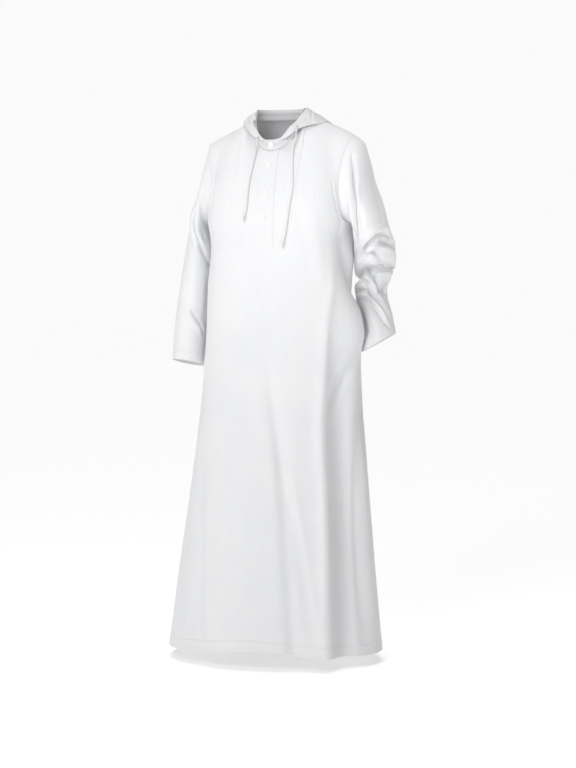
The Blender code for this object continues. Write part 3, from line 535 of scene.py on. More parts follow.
def drawn_in(grid, closed):
    """The grid with its edges drawn in by half a seam gap, square to the edge."""
    def step(edge, inside):
        way = inside - edge
        along = unit(np.roll(edge, -1, 0) - np.roll(edge, 1, 0) if closed else np.gradient(edge, axis=0))
        return unit(way - along * (way * along).sum(-1)[..., None]) * SEAM_GAP / 2

    moved = grid.copy()
    moved[0] += step(grid[0], grid[1])
    moved[-1] += step(grid[-1], grid[-2])
    if not closed:
        moved[:, 0] += step(grid[:, 0], grid[:, 1])
        moved[:, -1] += step(grid[:, -1], grid[:, -2])
    return moved


def pocket_bag(front_grid, back_grid, front_normals, back_normals, rows):
    """Rings of the pocket bag: the mouth follows the slit's two edges, then the bag runs inwards."""
    inside = WALL + BAG_GAP
    front_edge = front_grid[rows, -1] - front_normals[rows, -1] * inside
    back_edge = back_grid[rows, 0] - back_normals[rows, 0] * inside
    ends = (front_edge[[0, -1]] + back_edge[[0, -1]]) / 2
    mouth = np.concatenate([ends[:1], back_edge[1:-1], ends[1:], front_edge[1:-1][::-1]])
    centre = mouth.mean(0)
    grid = []
    for ring in BAG:
        off = (mouth - centre) * (ring.thick, ring.thick, ring.tall)
        grid.append(centre + (-ring.inward, -ring.forward, -ring.down) + off)
    return np.array(grid)


def surface_tree(grid):
    """Search tree over the cells of a grid."""
    rows, columns = grid.shape[:2]
    cells = [(i * columns + j, i * columns + j + 1, (i + 1) * columns + j + 1, (i + 1) * columns + j)
             for i in range(rows - 1) for j in range(columns - 1)]
    return BVHTree.FromPolygons([Vector(point) for point in grid.reshape(-1, 3)], cells)


def seen_from_front(tree, x, height):
    """The point of a surface that lies behind (x, height) for someone in front, and its normal."""
    place, normal, _, _ = tree.ray_cast(Vector((x, -1, height)), Vector((0, 1, 0)))
    return place, normal if normal.y < 0 else -normal


def cord_line(side, tree):
    """Evenly spaced points of a smooth curve through the way of one cord."""
    way = [Vector(point) for point in CORD_STARTS[side]]
    for point in CORDS[side]:
        place, normal = seen_from_front(tree, point.x, point.height)
        way.append(place + normal * point.off)
    return resampled(smoothed_line([tuple(point) for point in way], 32), CORD_STEP)[0]


# Fine grids of the cloth
FINE_FRONT_TURNS = np.linspace(-90, 90, 181)
FINE_BACK_TURNS = np.linspace(90, 270, 181)
FINE_YOKE_ROWS = 60
FINE_BODY_ROWS = 150
FINE_SLEEVE_ROWS = 215
FINE_HOOD_ROWS, FINE_HOOD_COLUMNS = 76, 90
FINE_BAND_ROWS = 18
FINE_PLACKET_COLUMNS = 33
HEM_ROWS = (0, 0.0015, 0.006, 0.014, 0.022, 0.0275, 0.0290, 0.0300, 0.0310, 0.0330)     # above the hem
CUFF_ROWS = (-0.0015, 0, 0.0015, 0.005, 0.012, 0.019)      # past a cuff's stitch line
LEAST_ROW = 0.0008          # rows of a panel lie at least this far apart

# Sewing
HEM_DEEP, CUFF_DEEP, RIM_DEEP = 0.030, 0.026, 0.024     # edge to stitch line
TURN_LIFT = 0.0007          # a turned-up edge stands out this much more than single cloth
TURN_BLEND = 0.0012         # to each side of its stitch line
PLACKET_PRESSED = 0.0006    # the placket's pressed edge lies this much lower
PLACKET_STITCH = 0.0035     # from the placket's edge to its stitch line
PLACKET_GROOVE = 0.0004     # depth of that line
PLACKET_BOX = 0.032         # height of the box stitched at its foot
BAND_STITCH_LOW, BAND_STITCH_HIGH = 0.0035, 0.0032      # from the neckband's edges to its stitch lines
SLIT_STITCH, SLIT_STITCH_PAST = 0.006, 0.012            # from the slit's edge, and past its ends
BAND_ROLL, BAND_HOLLOW = 0.0012, 0.0028     # how far the neckband's upper edge rolls out, over a hollow
BAND_GROOVE = 0.0004        # at the stitch line above its lower edge
UNDERARM_SEAM = 0.0006      # depth of the seam along the underside of a sleeve
SEAM_DIP, SEAM_DIP_HALF = 0.0007, 0.005     # the cloth dips this deep and this far beside a seam
PUCKER, PUCKER_HALF = 0.00055, 0.011        # and wavers beside a stitch line
STITCH_GROOVE, STITCH_GROOVE_HALF = 0.0005, 0.0016
HEM_WAVE, CUFF_WAVE, RIM_WAVE = 0.046, 0.055, 0.040     # length of the wavering
BODY_RADIUS, SLEEVE_RADIUS = 0.27, 0.070                # roughly, to turn degrees into metres
BODY_FADE, SLEEVE_FADE, RIM_FADE = 0.030, 0.035, 0.012  # creases fade this far from the seams and the rim

# Fine creases of the front and the back: polylines of (turn, height) with how far the cloth stands
# out there (or in, if negative) and its half width in metres; each fades out towards its ends.
FineCrease = namedtuple("FineCrease", "depth width points")
FRONT_CREASES = rows_of(FineCrease, (
    (0.011, 0.0115, ((60, -0.42), (54, -0.58), (50, -0.7), (47.5, -0.82), (48, -1.02), (47, -1.25),
       (45.5, -1.46))),
    (-0.018, 0.017, ((66, -0.71), (57, -0.8), (56, -1.02), (55, -1.25), (54, -1.46))),
    (-0.029, 0.03, ((74, -0.74), (68, -0.84), (66, -1.02), (65, -1.25), (64, -1.46))),
    (-0.023, 0.03, ((80, -0.86), (77, -1.04), (75.5, -1.24), (74.5, -1.46))),
    (-0.0095, 0.018, ((5, -0.66), (13, -0.82), (20.5, -0.93), (28.5, -1.08), (35, -1.2), (41.8, -1.42))),
    (0.005, 0.014, ((12, -0.74), (19, -0.87), (27, -0.98), (35, -1.12), (40.5, -1.26), (44.5, -1.42))),
    (0.007, 0.013, ((80, -0.612), (72, -0.64), (64, -0.69), (56, -0.74))),
    (-0.008, 0.013, ((82, -0.65), (74, -0.68), (66, -0.728), (59, -0.79))),
    (-0.0028, 0.014, ((-55, -0.96), (-49, -1.12), (-44, -1.27), (-41, -1.4))),
    (0.002, 0.015, ((-47, -0.98), (-40, -1.14), (-34, -1.34))),
    (-0.0016, 0.016, ((-20, -0.4), (-24, -0.55), (-26, -0.75))),
    (0.0014, 0.016, ((-8, -0.42), (-9, -0.6), (-7, -0.8))),
    (-0.0018, 0.013, ((6, -0.44), (10, -0.54), (11, -0.66))),
    (-0.0016, 0.015, ((33, -0.2), (38, -0.32), (44, -0.46))),
    (0.0016, 0.014, ((45, -0.22), (49, -0.34), (53, -0.46))),
    (-0.0045, 0.005, ((65.5, -0.17), (67.5, -0.21), (70, -0.25), (74, -0.3), (77, -0.36))),
    (-0.0048, 0.008, ((-67, -0.15), (-63, -0.185), (-62, -0.225), (-62, -0.27))),
    (0.0022, 0.009, ((-57, -0.17), (-55, -0.23), (-56, -0.3))),
    (-0.0018, 0.012, ((-60, -0.3), (-58, -0.42), (-59, -0.56))),
    (-0.002, 0.012, ((-12, -0.86), (-16, -1.02), (-22, -1.22))),
    (0.0016, 0.016, ((-28, -0.88), (-27, -1.08), (-24, -1.3))),
))
BACK_CREASES = rows_of(FineCrease, (
    (-0.003, 0.016, ((148, -0.3), (150, -0.45), (149, -0.62), (146, -0.8))),
    (0.0024, 0.015, ((160, -0.34), (163, -0.52), (162, -0.72))),
    (-0.0028, 0.015, ((206, -0.32), (203, -0.48), (203, -0.66), (206, -0.86))),
    (-0.004, 0.014, ((139, -0.8), (140, -1), (141, -1.2), (140, -1.42))),
    (0.003, 0.013, ((122, -0.82), (121, -1.05), (119, -1.38))),
    (-0.0036, 0.014, ((230, -0.88), (233, -1.12), (236, -1.42))),
    (0.0026, 0.013, ((220, -0.92), (222, -1.14), (224, -1.38))),
    (-0.0034, 0.014, ((196, -0.8), (199, -1.02), (201, -1.24), (202, -1.42))),
    (0.0024, 0.014, ((182, -0.85), (184, -1.08), (187, -1.34))),
    (-0.003, 0.012, ((112, -0.62), (118, -0.7), (126, -0.8))),
))
# Fine creases of the sleeves: polylines of (around, along)
SLEEVE_CREASES = rows_of(FineCrease, {
    -1: (
        (-0.0078, 0.0048, ((82, 0.1), (90, 0.122), (99, 0.152), (108, 0.182), (118, 0.211), (135, 0.241),
           (153, 0.264), (166, 0.276))),
        (0.0048, 0.008, ((66, 0.115), (78, 0.155), (90, 0.192), (102, 0.225), (122, 0.258))),
        (-0.003, 0.0085, ((128, 0.125), (136, 0.165), (138, 0.215))),
        (-0.0076, 0.0055, ((112, 0.398), (124, 0.41), (138, 0.421), (152, 0.436), (166, 0.46))),
        (0.003, 0.008, ((108, 0.416), (124, 0.432), (142, 0.446), (156, 0.472))),
        (-0.0034, 0.01, ((150, 0.29), (158, 0.335), (163, 0.375), (166, 0.42))),
        (-0.0022, 0.012, ((72, 0.3), (84, 0.35), (92, 0.395))),
        (-0.0032, 0.009, ((200, 0.205), (225, 0.226), (255, 0.246), (290, 0.252))),
        (0.0026, 0.009, ((205, 0.232), (235, 0.252), (270, 0.27), (300, 0.272))),
        (-0.0026, 0.01, ((215, 0.33), (245, 0.35), (280, 0.356))),
    ),
    1: (
        (-0.022, 0.0052, ((46, 0.02), (54, 0.025), (72, 0.04), (90, 0.055), (99, 0.083), (110, 0.103),
           (117, 0.122), (125, 0.15), (128, 0.185), (128, 0.215))),
        (-0.003, 0.0035, ((80, 0.004), (99, 0.004), (115, 0.004), (130, 0.006))),
        (0.0075, 0.0085, ((100, 0.034), (112, 0.05), (124, 0.076), (134, 0.105), (146, 0.14))),
        (0.0045, 0.008, ((62, 0.06), (80, 0.068), (94, 0.09), (106, 0.118), (114, 0.15))),
        (0.0095, 0.009, ((128, 0.262), (112, 0.236), (92, 0.21), (66, 0.197), (42, 0.197), (16, 0.202),
           (0, 0.214))),
        (-0.0206, 0.0058, ((119, 0.266), (106, 0.247), (90, 0.226), (64, 0.215), (44, 0.214), (18, 0.22),
           (2, 0.236))),
        (-0.014, 0.0095, ((52, 0.229), (34, 0.236), (16, 0.247), (2, 0.262))),
        (0.0078, 0.007, ((106, 0.268), (92, 0.248), (72, 0.24), (52, 0.249), (30, 0.266), (12, 0.282))),
        (-0.0148, 0.0044, ((113, 0.267), (99, 0.258), (82, 0.256), (70, 0.266), (60, 0.286), (55, 0.302))),
        (0.0084, 0.012, ((104, 0.294), (84, 0.288), (66, 0.312))),
        (-0.0157, 0.01, ((48, 0.308), (30, 0.318), (10, 0.33), (352, 0.342))),
        (-0.0181, 0.0046, ((114, 0.32), (99, 0.331), (74, 0.361), (50, 0.392), (30, 0.424), (14, 0.456))),
        (0.0086, 0.0064, ((128, 0.338), (108, 0.342), (92, 0.358), (70, 0.386), (46, 0.417), (28, 0.45))),
        (-0.0132, 0.004, ((116, 0.355), (110, 0.358), (94, 0.378), (84, 0.404))),
        (-0.0181, 0.0044, ((156, 0.39), (134, 0.389), (112, 0.395), (98, 0.401), (74, 0.416),
           (54, 0.446), (36, 0.476), (20, 0.504))),
        (0.0078, 0.0066, ((140, 0.404), (112, 0.41), (90, 0.42), (66, 0.446), (46, 0.478), (30, 0.506))),
        (-0.0099, 0.004, ((138, 0.416), (110, 0.424), (84, 0.44), (68, 0.466), (46, 0.502), (20, 0.532))),
        (-0.0074, 0.007, ((128, 0.44), (113, 0.472), (105, 0.512))),
        (0.0056, 0.011, ((92, 0.462), (74, 0.5), (66, 0.535))),
        (-0.0045, 0.012, ((4, 0.08), (12, 0.14), (26, 0.19))),
        (-0.0052, 0.0085, ((86, 0.092), (91, 0.13), (93, 0.172))),
        (-0.0088, 0.0075, ((196, 0.29), (228, 0.304), (262, 0.314), (300, 0.318))),
        (0.007, 0.008, ((196, 0.316), (230, 0.33), (266, 0.342), (302, 0.344))),
        (-0.0075, 0.007, ((202, 0.35), (236, 0.366), (272, 0.376), (306, 0.378))),
        (0.0055, 0.0085, ((204, 0.376), (238, 0.39), (276, 0.402))),
        (-0.0057, 0.0075, ((208, 0.402), (244, 0.418), (282, 0.432))),
        (-0.005, 0.0085, ((222, 0.216), (250, 0.236), (282, 0.246))),
    ),
})


# Fine creases of the hood's halves: polylines of (turn, place), where the place is 0 at the seam on
# the neckband, 2 at the fold and 4 at the rim
HOOD_CREASES = rows_of(FineCrease, {
    -1: (
        (-0.0034, 0.0042, ((84, 3.6), (70, 3.5), (56, 3.42), (44, 3.3), (34, 3.1))),
        (0.0024, 0.006, ((88, 3.05), (70, 2.95), (54, 2.85), (42, 2.75))),
        (-0.003, 0.0045, ((70, 2.1), (62, 2.45), (54, 2.75), (46, 2.95))),
        (-0.0024, 0.006, ((104, 2.6), (112, 3), (120, 3.5))),
        (-0.004, 0.01, ((124, 2.3), (142, 2.5), (160, 2.9))),
    ),
    1: (
        (-0.0026, 0.0055, ((96, 3.4), (84, 3), (76, 2.6), (72, 2.2))),
        (0.002, 0.007, ((88, 3.5), (76, 3.1), (66, 2.6))),
        (-0.002, 0.005, ((60, 3.5), (48, 3.2), (38, 2.7))),
        (-0.004, 0.01, ((128, 2.2), (146, 2.6), (160, 3.1))),
        (0.003, 0.011, ((124, 2.7), (138, 3.1), (152, 3.5))),
    ),
})


def distance_to_line(points, line):
    """Distance from every point to a polyline, and how far along it (0 to 1) the nearest place lies."""
    nearest = np.full(points.shape[:-1], 1e9)
    place = np.zeros(points.shape[:-1])
    runs = np.linalg.norm(np.diff(line, axis=0), axis=1)
    before = np.concatenate([[0], np.cumsum(runs)])
    for start, end, run, done in zip(line[:-1], line[1:], runs, before):
        along = np.clip(((points - start) @ (end - start)) / run ** 2, 0, 1)
        away = np.linalg.norm(points - start - along[..., None] * (end - start), axis=-1)
        closer = away < nearest
        nearest = np.where(closer, away, nearest)
        place = np.where(closer, (done + along * run) / before[-1], place)
    return nearest, place


def smoothed_line(line, parts=10):
    """The polyline rounded to a smooth curve through its points."""
    line = np.array(line, float)
    before, after = np.concatenate([line[:1], line[:-1]]), np.concatenate([line[1:], line[-1:]])
    slopes = (after - before) / 2
    curve = [line[0]]
    for i in range(len(line) - 1):
        for t in np.linspace(0, 1, parts + 1)[1:]:
            curve.append(hermite(line[i], line[i + 1], slopes[i], slopes[i + 1], t))
    return np.array(curve)


def column_places(grid, turns, line):
    """Points of a panel's grid at pairs of (turn, height)."""
    found = []
    for turn, height in line:
        at = np.interp(turn, turns, np.arange(len(turns)))
        low = min(int(at), len(turns) - 2)
        column = grid[:, low] + (grid[:, low + 1] - grid[:, low]) * (at - low)
        found.append(read_at(height, column[:, 2], column))
    return np.array(found)


def ring_places(grid, around, row_of, line):
    """Points of a sleeve's or hood half's grid at pairs of (turn, place). row_of turns a place to a row."""
    found = []
    for turn, place in line:
        row = row_of(place)
        low = min(int(row), len(grid) - 2)
        ring = grid[low] + (grid[low + 1] - grid[low]) * (row - low)
        found.append([np.interp(turn, around, ring[:, k], period=360) for k in range(3)])
    return np.array(found)


def crease_depth(grid, creases, place):
    """How far fine creases move each grid point out. place turns their points into points in space."""
    total = np.zeros(grid.shape[:2])
    for crease in creases:
        away, at = distance_to_line(grid, place(smoothed_line(crease.points)))
        fade = np.sin(pi * np.clip(at * 0.94 + 0.03, 0, 1)) ** 0.7
        total += crease.depth * fade * bell(away, crease.width)
    return total


def edge_run(grid, axis, last):
    """Distance from every grid point to one edge of the grid, measured along the grid."""
    steps = np.linalg.norm(np.diff(grid, axis=axis), axis=-1)
    run = np.cumsum(steps if not last else np.flip(steps, axis), axis=axis)
    first = np.zeros_like(np.take(run, [0], axis=axis))
    run = np.concatenate([first, run], axis=axis)
    return np.flip(run, axis) if last else run


def turned_edge(run, deep, wander):
    """Lift of an edge turned under and stitched down, with slight puckers at its stitch line."""
    lift = TURN_LIFT * (1 - smooth_step(deep - TURN_BLEND, deep + TURN_BLEND, run))
    groove = -STITCH_GROOVE * bell(run - deep, STITCH_GROOVE_HALF)
    pucker = PUCKER * wander * bell(run - deep, PUCKER_HALF)
    return lift + groove + pucker


def wandering(length, scale, seed):
    """Smooth uneven values between about -1 and 1 along a run of metres."""
    total = 0 * length
    for number, share in ((1.0, 0.5), (1.63, 0.35), (2.71, 0.25)):
        total = total + share * np.sin(2 * pi * length / scale * number + seed * 2.4 + number * 5.1)
    return total


def seam_dip(run):
    """Hollow beside a seam."""
    return -SEAM_DIP * bell(run, SEAM_DIP_HALF)


def worn_hood(side, turns, rows, trees):
    """One half of the hood with its thin front ends and with its fold hanging over the shoulder."""
    grid = hood(side, turns, rows)
    turns = turns if side > 0 else turns[::-1]
    outward = outwards(side, turns)
    place = np.linspace(0, 4, rows + 1)[:, None]
    lower = neck_point(turns)[:, 2] - neck_point(np.maximum(turns, HOOD[0].turn))[:, 2]
    lap = band_lap(turns) * (side > 0)
    share = HOOD_END_SHARE + (1 - HOOD_END_SHARE) * smooth_step(HOOD_END, HOOD_TAPER, turns)
    out = (grid[..., :2] * outward).sum(-1)
    out = out[0] + (out - out[0]) * share + lap
    high = grid[..., 2]
    high = high[0] + (high - high[0] + lower * np.minimum(place / 2, 1)) * share + lap
    grid = np.concatenate([outward * out[..., None], high[..., None]], -1)
    if side > 0:
        hang = bell(turns - HANG_TURN, HANG_WIDTH) * bell(place - 2, HANG_ROWS)
        grid = grid + hang[..., None] * HANG
    for spot in grid.reshape(-1, 3):
        for tree in trees:
            near, way, _, _ = tree.find_nearest(Vector(spot))
            if way.dot(Vector((near.x, near.y, 0)).normalized() + Vector((0, 0, 0.6))) <= 0:
                way = -way
            gap = Vector(spot) - near
            off = gap.dot(way)
            if off < HOOD_CLEAR and (gap - way * off).length < HOOD_BESIDE:
                spot += np.array(way * (HOOD_CLEAR - off))
    return grid


cut = {}                    # the fine surfaces, their normals and the stitch, made once


def panel_depth(grid, turns, creases, front):
    """How far a panel's fine points stand out: creases, seams and the turned-up hem."""
    to_left, to_right = edge_run(grid, 1, front), edge_run(grid, 1, not front)
    to_top, from_hem = edge_run(grid, 0, True), edge_run(grid, 0, False)
    inside = smooth_step(0, BODY_FADE, np.minimum(to_left, to_right)) * smooth_step(0, BODY_FADE, to_top)
    depth = crease_depth(grid, creases, lambda line: column_places(grid, turns, line)) * inside
    slit = slit_opening(np.clip(grid[..., 2], SLIT_END, SLIT_TOP)) > 0
    depth += np.where((to_left < 0.05) & slit, 0, seam_dip(to_left)) + seam_dip(to_right) + seam_dip(to_top)
    across = np.radians(turns)[None, :] * BODY_RADIUS + 0 * to_top
    return depth + turned_edge(from_hem, HEM_DEEP, wandering(across, HEM_WAVE, 3.0 if front else 7.0))


def sleeve_depth(grid, along, side):
    """The same for a sleeve, with the seam along its underside and its turned-up cuff."""
    around = sleeve_around(side, len(grid[0]))
    run, to_cuff = edge_run(grid, 0, False), edge_run(grid, 0, True)
    row_of = lambda place: np.interp(place, along, np.arange(len(along)))
    depth = crease_depth(grid, SLEEVE_CREASES[side], lambda line: ring_places(grid, around, row_of, line))
    depth = depth * smooth_step(0, SLEEVE_FADE, run) + seam_dip(run)
    across = np.radians(around)[None, :] * SLEEVE_RADIUS + 0 * run
    depth += turned_edge(to_cuff, CUFF_DEEP, wandering(across, CUFF_WAVE, 1.0 + side))
    return depth - UNDERARM_SEAM * bell((around % 360 - 180) * 0.0012, 0.004)[None, :]


def hood_depth(grid, turns, side):
    """The same for a half of the hood, with its turned rim and the seam down its back."""
    to_rim, across = edge_run(grid, 0, True), edge_run(grid, 1, False)
    inside = smooth_step(0, RIM_FADE, to_rim) * smooth_step(HOOD_END, HOOD_TAPER, turns)
    row_of = lambda place: place / 4 * (len(grid) - 1)
    depth = crease_depth(grid, HOOD_CREASES[side], lambda line: ring_places(grid, turns, row_of, line))
    return (turned_edge(to_rim, RIM_DEEP, wandering(across, RIM_WAVE, 5.0 + side))
            + depth * inside + seam_dip(edge_run(grid, 1, side > 0)))


def band_depth(grid):
    """The same for the neckband, whose upper edge rolls out over a hollow."""
    low, high = edge_run(grid, 0, False), edge_run(grid, 0, True)
    return (BAND_ROLL * bell(high - 0.0014, 0.0016) - BAND_HOLLOW * bell(high - 0.0085, 0.0055)
            - BAND_GROOVE * bell(low - 0.004, 0.0018))


def fine_surfaces():
    """Work out every sewn piece's outer surface on its fine grid."""
    if "outer" in cut:
        return cut
    levels = np.unique(np.round(np.concatenate([
        HEM + np.array(HEM_ROWS), [SLIT_END, SLIT_TOP, PLACKET_END],
        np.linspace(HEM + 0.040, UNDERARM, FINE_BODY_ROWS)]), 5))
    levels = levels[np.concatenate([[True], np.diff(levels) > LEAST_ROW])]
    front = panel(True, FINE_FRONT_TURNS, levels, FINE_YOKE_ROWS)
    back = panel(False, FINE_BACK_TURNS, levels, FINE_YOKE_ROWS)
    round_front = neck_turn(FINE_FRONT_TURNS[np.abs(FINE_FRONT_TURNS) <= NECK_TURN], True)
    round_back = neck_turn(FINE_BACK_TURNS[np.abs(FINE_BACK_TURNS - 180) < NECK_TURN], False)
    band_turns = np.concatenate([[-BAND_LAP, -BAND_LAP / 2], round_front[round_front >= 0], round_back,
                                 round_front[round_front <= 0] + 360, [360 + BAND_LAP / 2, 360 + BAND_LAP]])
    grids = {"front": (front, False), "back": (back, False),
             "neckband": (band(band_turns, np.linspace(0, 1, FINE_BAND_ROWS + 1)), False)}
    depths = {"front": (panel_depth, FINE_FRONT_TURNS, FRONT_CREASES, True),
              "back": (panel_depth, FINE_BACK_TURNS, BACK_CREASES, False), "neckband": (band_depth,)}
    trees = [surface_tree(front), surface_tree(back)]
    for side, name in ((-1, "right"), (1, "left")):
        end = SLEEVE[side][-1].along
        along = np.unique(np.concatenate([
            np.linspace(0, end - CUFF_DEEP - 0.004, FINE_SLEEVE_ROWS),
            end - CUFF_DEEP + np.array(CUFF_ROWS), [end - 0.0015, end]]))
        grids[f"sleeve_{name}"] = (sleeve(side, along, FINE_YOKE_ROWS), True)
        depths[f"sleeve_{name}"] = (sleeve_depth, along, side)
        turns = np.linspace(HOOD_END, HOOD[-1].turn, FINE_HOOD_COLUMNS + 1)
        grids[f"hood_{name}"] = (worn_hood(side, turns, FINE_HOOD_ROWS, trees), False)
        depths[f"hood_{name}"] = (hood_depth, turns if side > 0 else turns[::-1], side)
    normals = shared_normals(grids)
    grids = {name: grid for name, (grid, _) in grids.items()}
    outer = {name: grids[name] + normals[name] * depth(grids[name], *settings)[..., None]
             for name, (depth, *settings) in depths.items()}
    cut.update(grids=grids, normals=normals, levels=levels, outer=outer)
    return cut


def sleeve_around(side, count):
    """The angles round a sleeve of the columns of its grid."""
    around = np.linspace(0, 360, count, endpoint=False)
    return (360 - around) % 360 if side < 0 else around


def cloth_shell(name, outer, normals, closed=False, capped=False, thickness=None):
    """A thin closed shell of cloth under a grid of outer points, with a UV map in metres."""
    thickness = thickness or look().cloth_thickness
    rows, columns = outer.shape[:2]
    points = np.concatenate([outer.reshape(-1, 3), (outer - normals * thickness).reshape(-1, 3)])
    cells = columns if closed else columns - 1
    i, j = (index.ravel() for index in np.meshgrid(np.arange(rows - 1), np.arange(cells), indexing="ij"))
    corners = [((i, j, 0), (i, j + 1, 0), (i + 1, j + 1, 0), (i + 1, j, 0)),
               ((i, j, 1), (i + 1, j, 1), (i + 1, j + 1, 1), (i, j + 1, 1))]
    i, j = np.arange(rows - 1), np.arange(cells)
    corners.append(((0, j + 1, 0), (0, j, 0), (0, j, 1), (0, j + 1, 1)))
    top, end = rows - 1, columns - 1
    if not capped:
        corners.append(((top, j, 0), (top, j + 1, 0), (top, j + 1, 1), (top, j, 1)))
    if not closed:
        corners.append(((i, 0, 0), (i + 1, 0, 0), (i + 1, 0, 1), (i, 0, 1)))
        corners.append(((i + 1, end, 0), (i, end, 0), (i, end, 1), (i + 1, end, 1)))
    across = np.linalg.norm(np.diff(np.concatenate([outer, outer[:, :1]], 1), axis=1), axis=-1)
    u = np.concatenate([np.zeros((rows, 1)), np.cumsum(across, 1)], 1)
    u = u - u[:, [columns // 2]]
    v = edge_run(outer, 0, False)
    faces, uvs = [], []
    for quad in corners:
        size = max(np.size(part) for corner in quad for part in corner)
        row, column, inner = (np.stack([np.broadcast_to(corner[k], size) for corner in quad], -1)
                              for k in range(3))
        faces.append(row * columns + column % columns + inner * rows * columns)
        uvs.append(np.stack([u[row, column], v[row, column % columns]], -1).reshape(-1, 2))
    polygons = np.concatenate(faces).tolist()
    if capped:
        last = np.arange(top * columns, rows * columns)
        polygons += [last.tolist(), (last[::-1] + rows * columns).tolist()]
        uvs += [outer[-1][:, 1:], outer[-1][::-1, 1:]]
    return add_piece(name, mesh(name, points, polygons, "weave", np.concatenate(uvs), 50))


def mesh(name, points, faces, layer=None, places=None, sharp=60):
    """A smooth mesh, with a UV map if one is named. Edges sharper than so many degrees stay sharp."""
    data = bpy.data.meshes.new(name)
    data.from_pydata(points.tolist(), [], faces)
    data.shade_smooth()
    if layer:
        data.uv_layers.new(name=layer).data.foreach_set("uv", np.array(places, "f").ravel())
        data.set_sharp_from_angle(angle=radians(sharp))
    return data


def add_piece(name, data):
    """Link a mesh to the scene as a piece that rides on the garment."""
    piece = bpy.data.objects.new(name, data)
    bpy.context.scene.collection.objects.link(piece)
    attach(piece, "root")
    return piece


def alone(piece):
    """Select and activate nothing but this piece."""
    if bpy.context.object and bpy.context.object.mode != "OBJECT":
        bpy.ops.object.mode_set(mode="OBJECT")
    bpy.ops.object.select_all(action="DESELECT")
    piece.select_set(True)
    bpy.context.view_layer.objects.active = piece


def joined(first, others):
    """Join meshes into the first of them."""
    alone(first)
    for part in others:
        part.select_set(True)
    bpy.ops.object.join()
    return first


# Stitches
STITCH_LENGTH, STITCH_STEP, STITCH_THICK = 0.0026, 0.0033, 0.00042


def pick(model, kind, wanted):
    """Select the wanted vertices, edges or faces of a mesh that is open for editing."""
    bpy.ops.mesh.select_mode(type=kind)
    bpy.ops.mesh.select_all(action="DESELECT")
    shape = bmesh.from_edit_mesh(model.data)
    for part in {"VERT": shape.verts, "EDGE": shape.edges, "FACE": shape.faces}[kind]:
        part.select = wanted(part)
    shape.select_flush_mode()
    bmesh.update_edit_mesh(model.data)


def one_stitch():
    """Mesh of one stitch along X: a short thread with its ends drawn into the cloth."""
    bpy.ops.object.select_all(action="DESELECT")
    bpy.ops.mesh.primitive_cylinder_add(vertices=6, radius=STITCH_THICK / 2, depth=STITCH_LENGTH,
                                        end_fill_type="TRIFAN", rotation=(0, pi / 2, 0))
    model = bpy.context.object
    bpy.ops.object.transform_apply(location=False, rotation=True, scale=False)
    bpy.ops.object.mode_set(mode="EDIT")
    bpy.ops.mesh.select_all(action="SELECT")
    bpy.ops.mesh.bisect(plane_co=(0, 0, 0), plane_no=(1, 0, 0))
    pick(model, "VERT", lambda vertex: abs(vertex.co.x) > STITCH_LENGTH * 0.4)
    bpy.ops.transform.resize(value=(1, 0.62, 0.62))
    bpy.ops.transform.translate(value=(0, 0, -STITCH_THICK * 0.45))
    bpy.ops.object.mode_set(mode="OBJECT")
    model.data.shade_smooth()
    stitch = model.data.copy()
    bpy.data.objects.remove(model)
    return stitch


def stitch_places(line, normals):
    """Matrices of stitches laid end to end along a line of points with normals."""
    step = look().stitch_step
    run = lengths(line)
    count = max(int(run[-1] / step), 1)
    at = (np.arange(count) + 0.5) * run[-1] / count
    ways = read_at(at + step / 4, run, line) - read_at(at - step / 4, run, line)
    places = []
    for point, way, normal in zip(read_at(at, run, line), ways, read_at(at, run, normals)):
        z = Vector(normal).normalized()
        y = z.cross(Vector(way).normalized()).normalized()
        place = Matrix((y.cross(z), y, z)).transposed().to_4x4()
        place.translation = Vector(point) + z * (STITCH_THICK * 0.22)
        places.append(place)
    return places


def sew(name, places):
    """One piece with a copy of the stitch at every place."""
    if "stitch" not in cut:
        cut["stitch"] = one_stitch()
    model = cut["stitch"]
    points = np.array([vertex.co for vertex in model.vertices])
    faces = [tuple(face.vertices) for face in model.polygons]
    all_points, all_faces = [], []
    for number, place in enumerate(places):
        turn = np.array(place)
        all_points.append(points @ turn[:3, :3].T + turn[:3, 3])
        all_faces += [tuple(corner + number * len(points) for corner in face) for face in faces]
    piece = add_piece(name, mesh(name, np.concatenate(all_points), all_faces))
    piece.data.materials.append(finished("white sewing thread", sewing_thread))


# Finishes
def wire(tree, node, inputs):
    """Link or set inputs of a node."""
    for key, value in inputs.items():
        if isinstance(value, bpy.types.NodeSocket):
            tree.links.new(value, node.inputs[key])
        else:
            node.inputs[key].default_value = value


def node_maker(tree):
    """A function that adds a node with its settings and inputs, and gives its first output."""
    def add(kind, inputs=(), **settings):
        made = tree.nodes.new("ShaderNode" + kind)
        for key, value in settings.items():
            setattr(made, key, value)
        wire(tree, made, dict(inputs))
        return made.outputs[0]
    return add


def calc(node, operation, *values):
    """A sum, product or function of sockets and numbers."""
    return node("Math", dict(enumerate(values)), operation=operation)


def ranged(node, value, *limits):
    """A value carried over from one range to another."""
    return node("MapRange", dict(enumerate((value, *limits))))


def noise(node, place, scale, detail, roughness=0.5, distortion=0.0):
    """Uneven values about 0.5."""
    return node("TexNoise", {"Vector": place, "Scale": scale, "Detail": detail, "Roughness": roughness,
                             "Distortion": distortion})


def bump(node, strength, distance, height, under=None):
    """A normal bent by a height, over another such normal if one is given."""
    made = node("Bump", {"Strength": strength, "Distance": distance, "Height": height})
    if under:
        made.node.id_data.links.new(under, made.node.inputs["Normal"])
    return made


def finished(name, build, *settings):
    """The node material of this name. build adds its nodes and says what goes into its shader."""
    finish = bpy.data.materials.get(name)
    if not finish:
        finish = bpy.data.materials.new(name)
        finish.use_nodes = True
        tree = finish.node_tree
        wire(tree, tree.nodes["Principled BSDF"], build(node_maker(tree), *settings))
    return finish


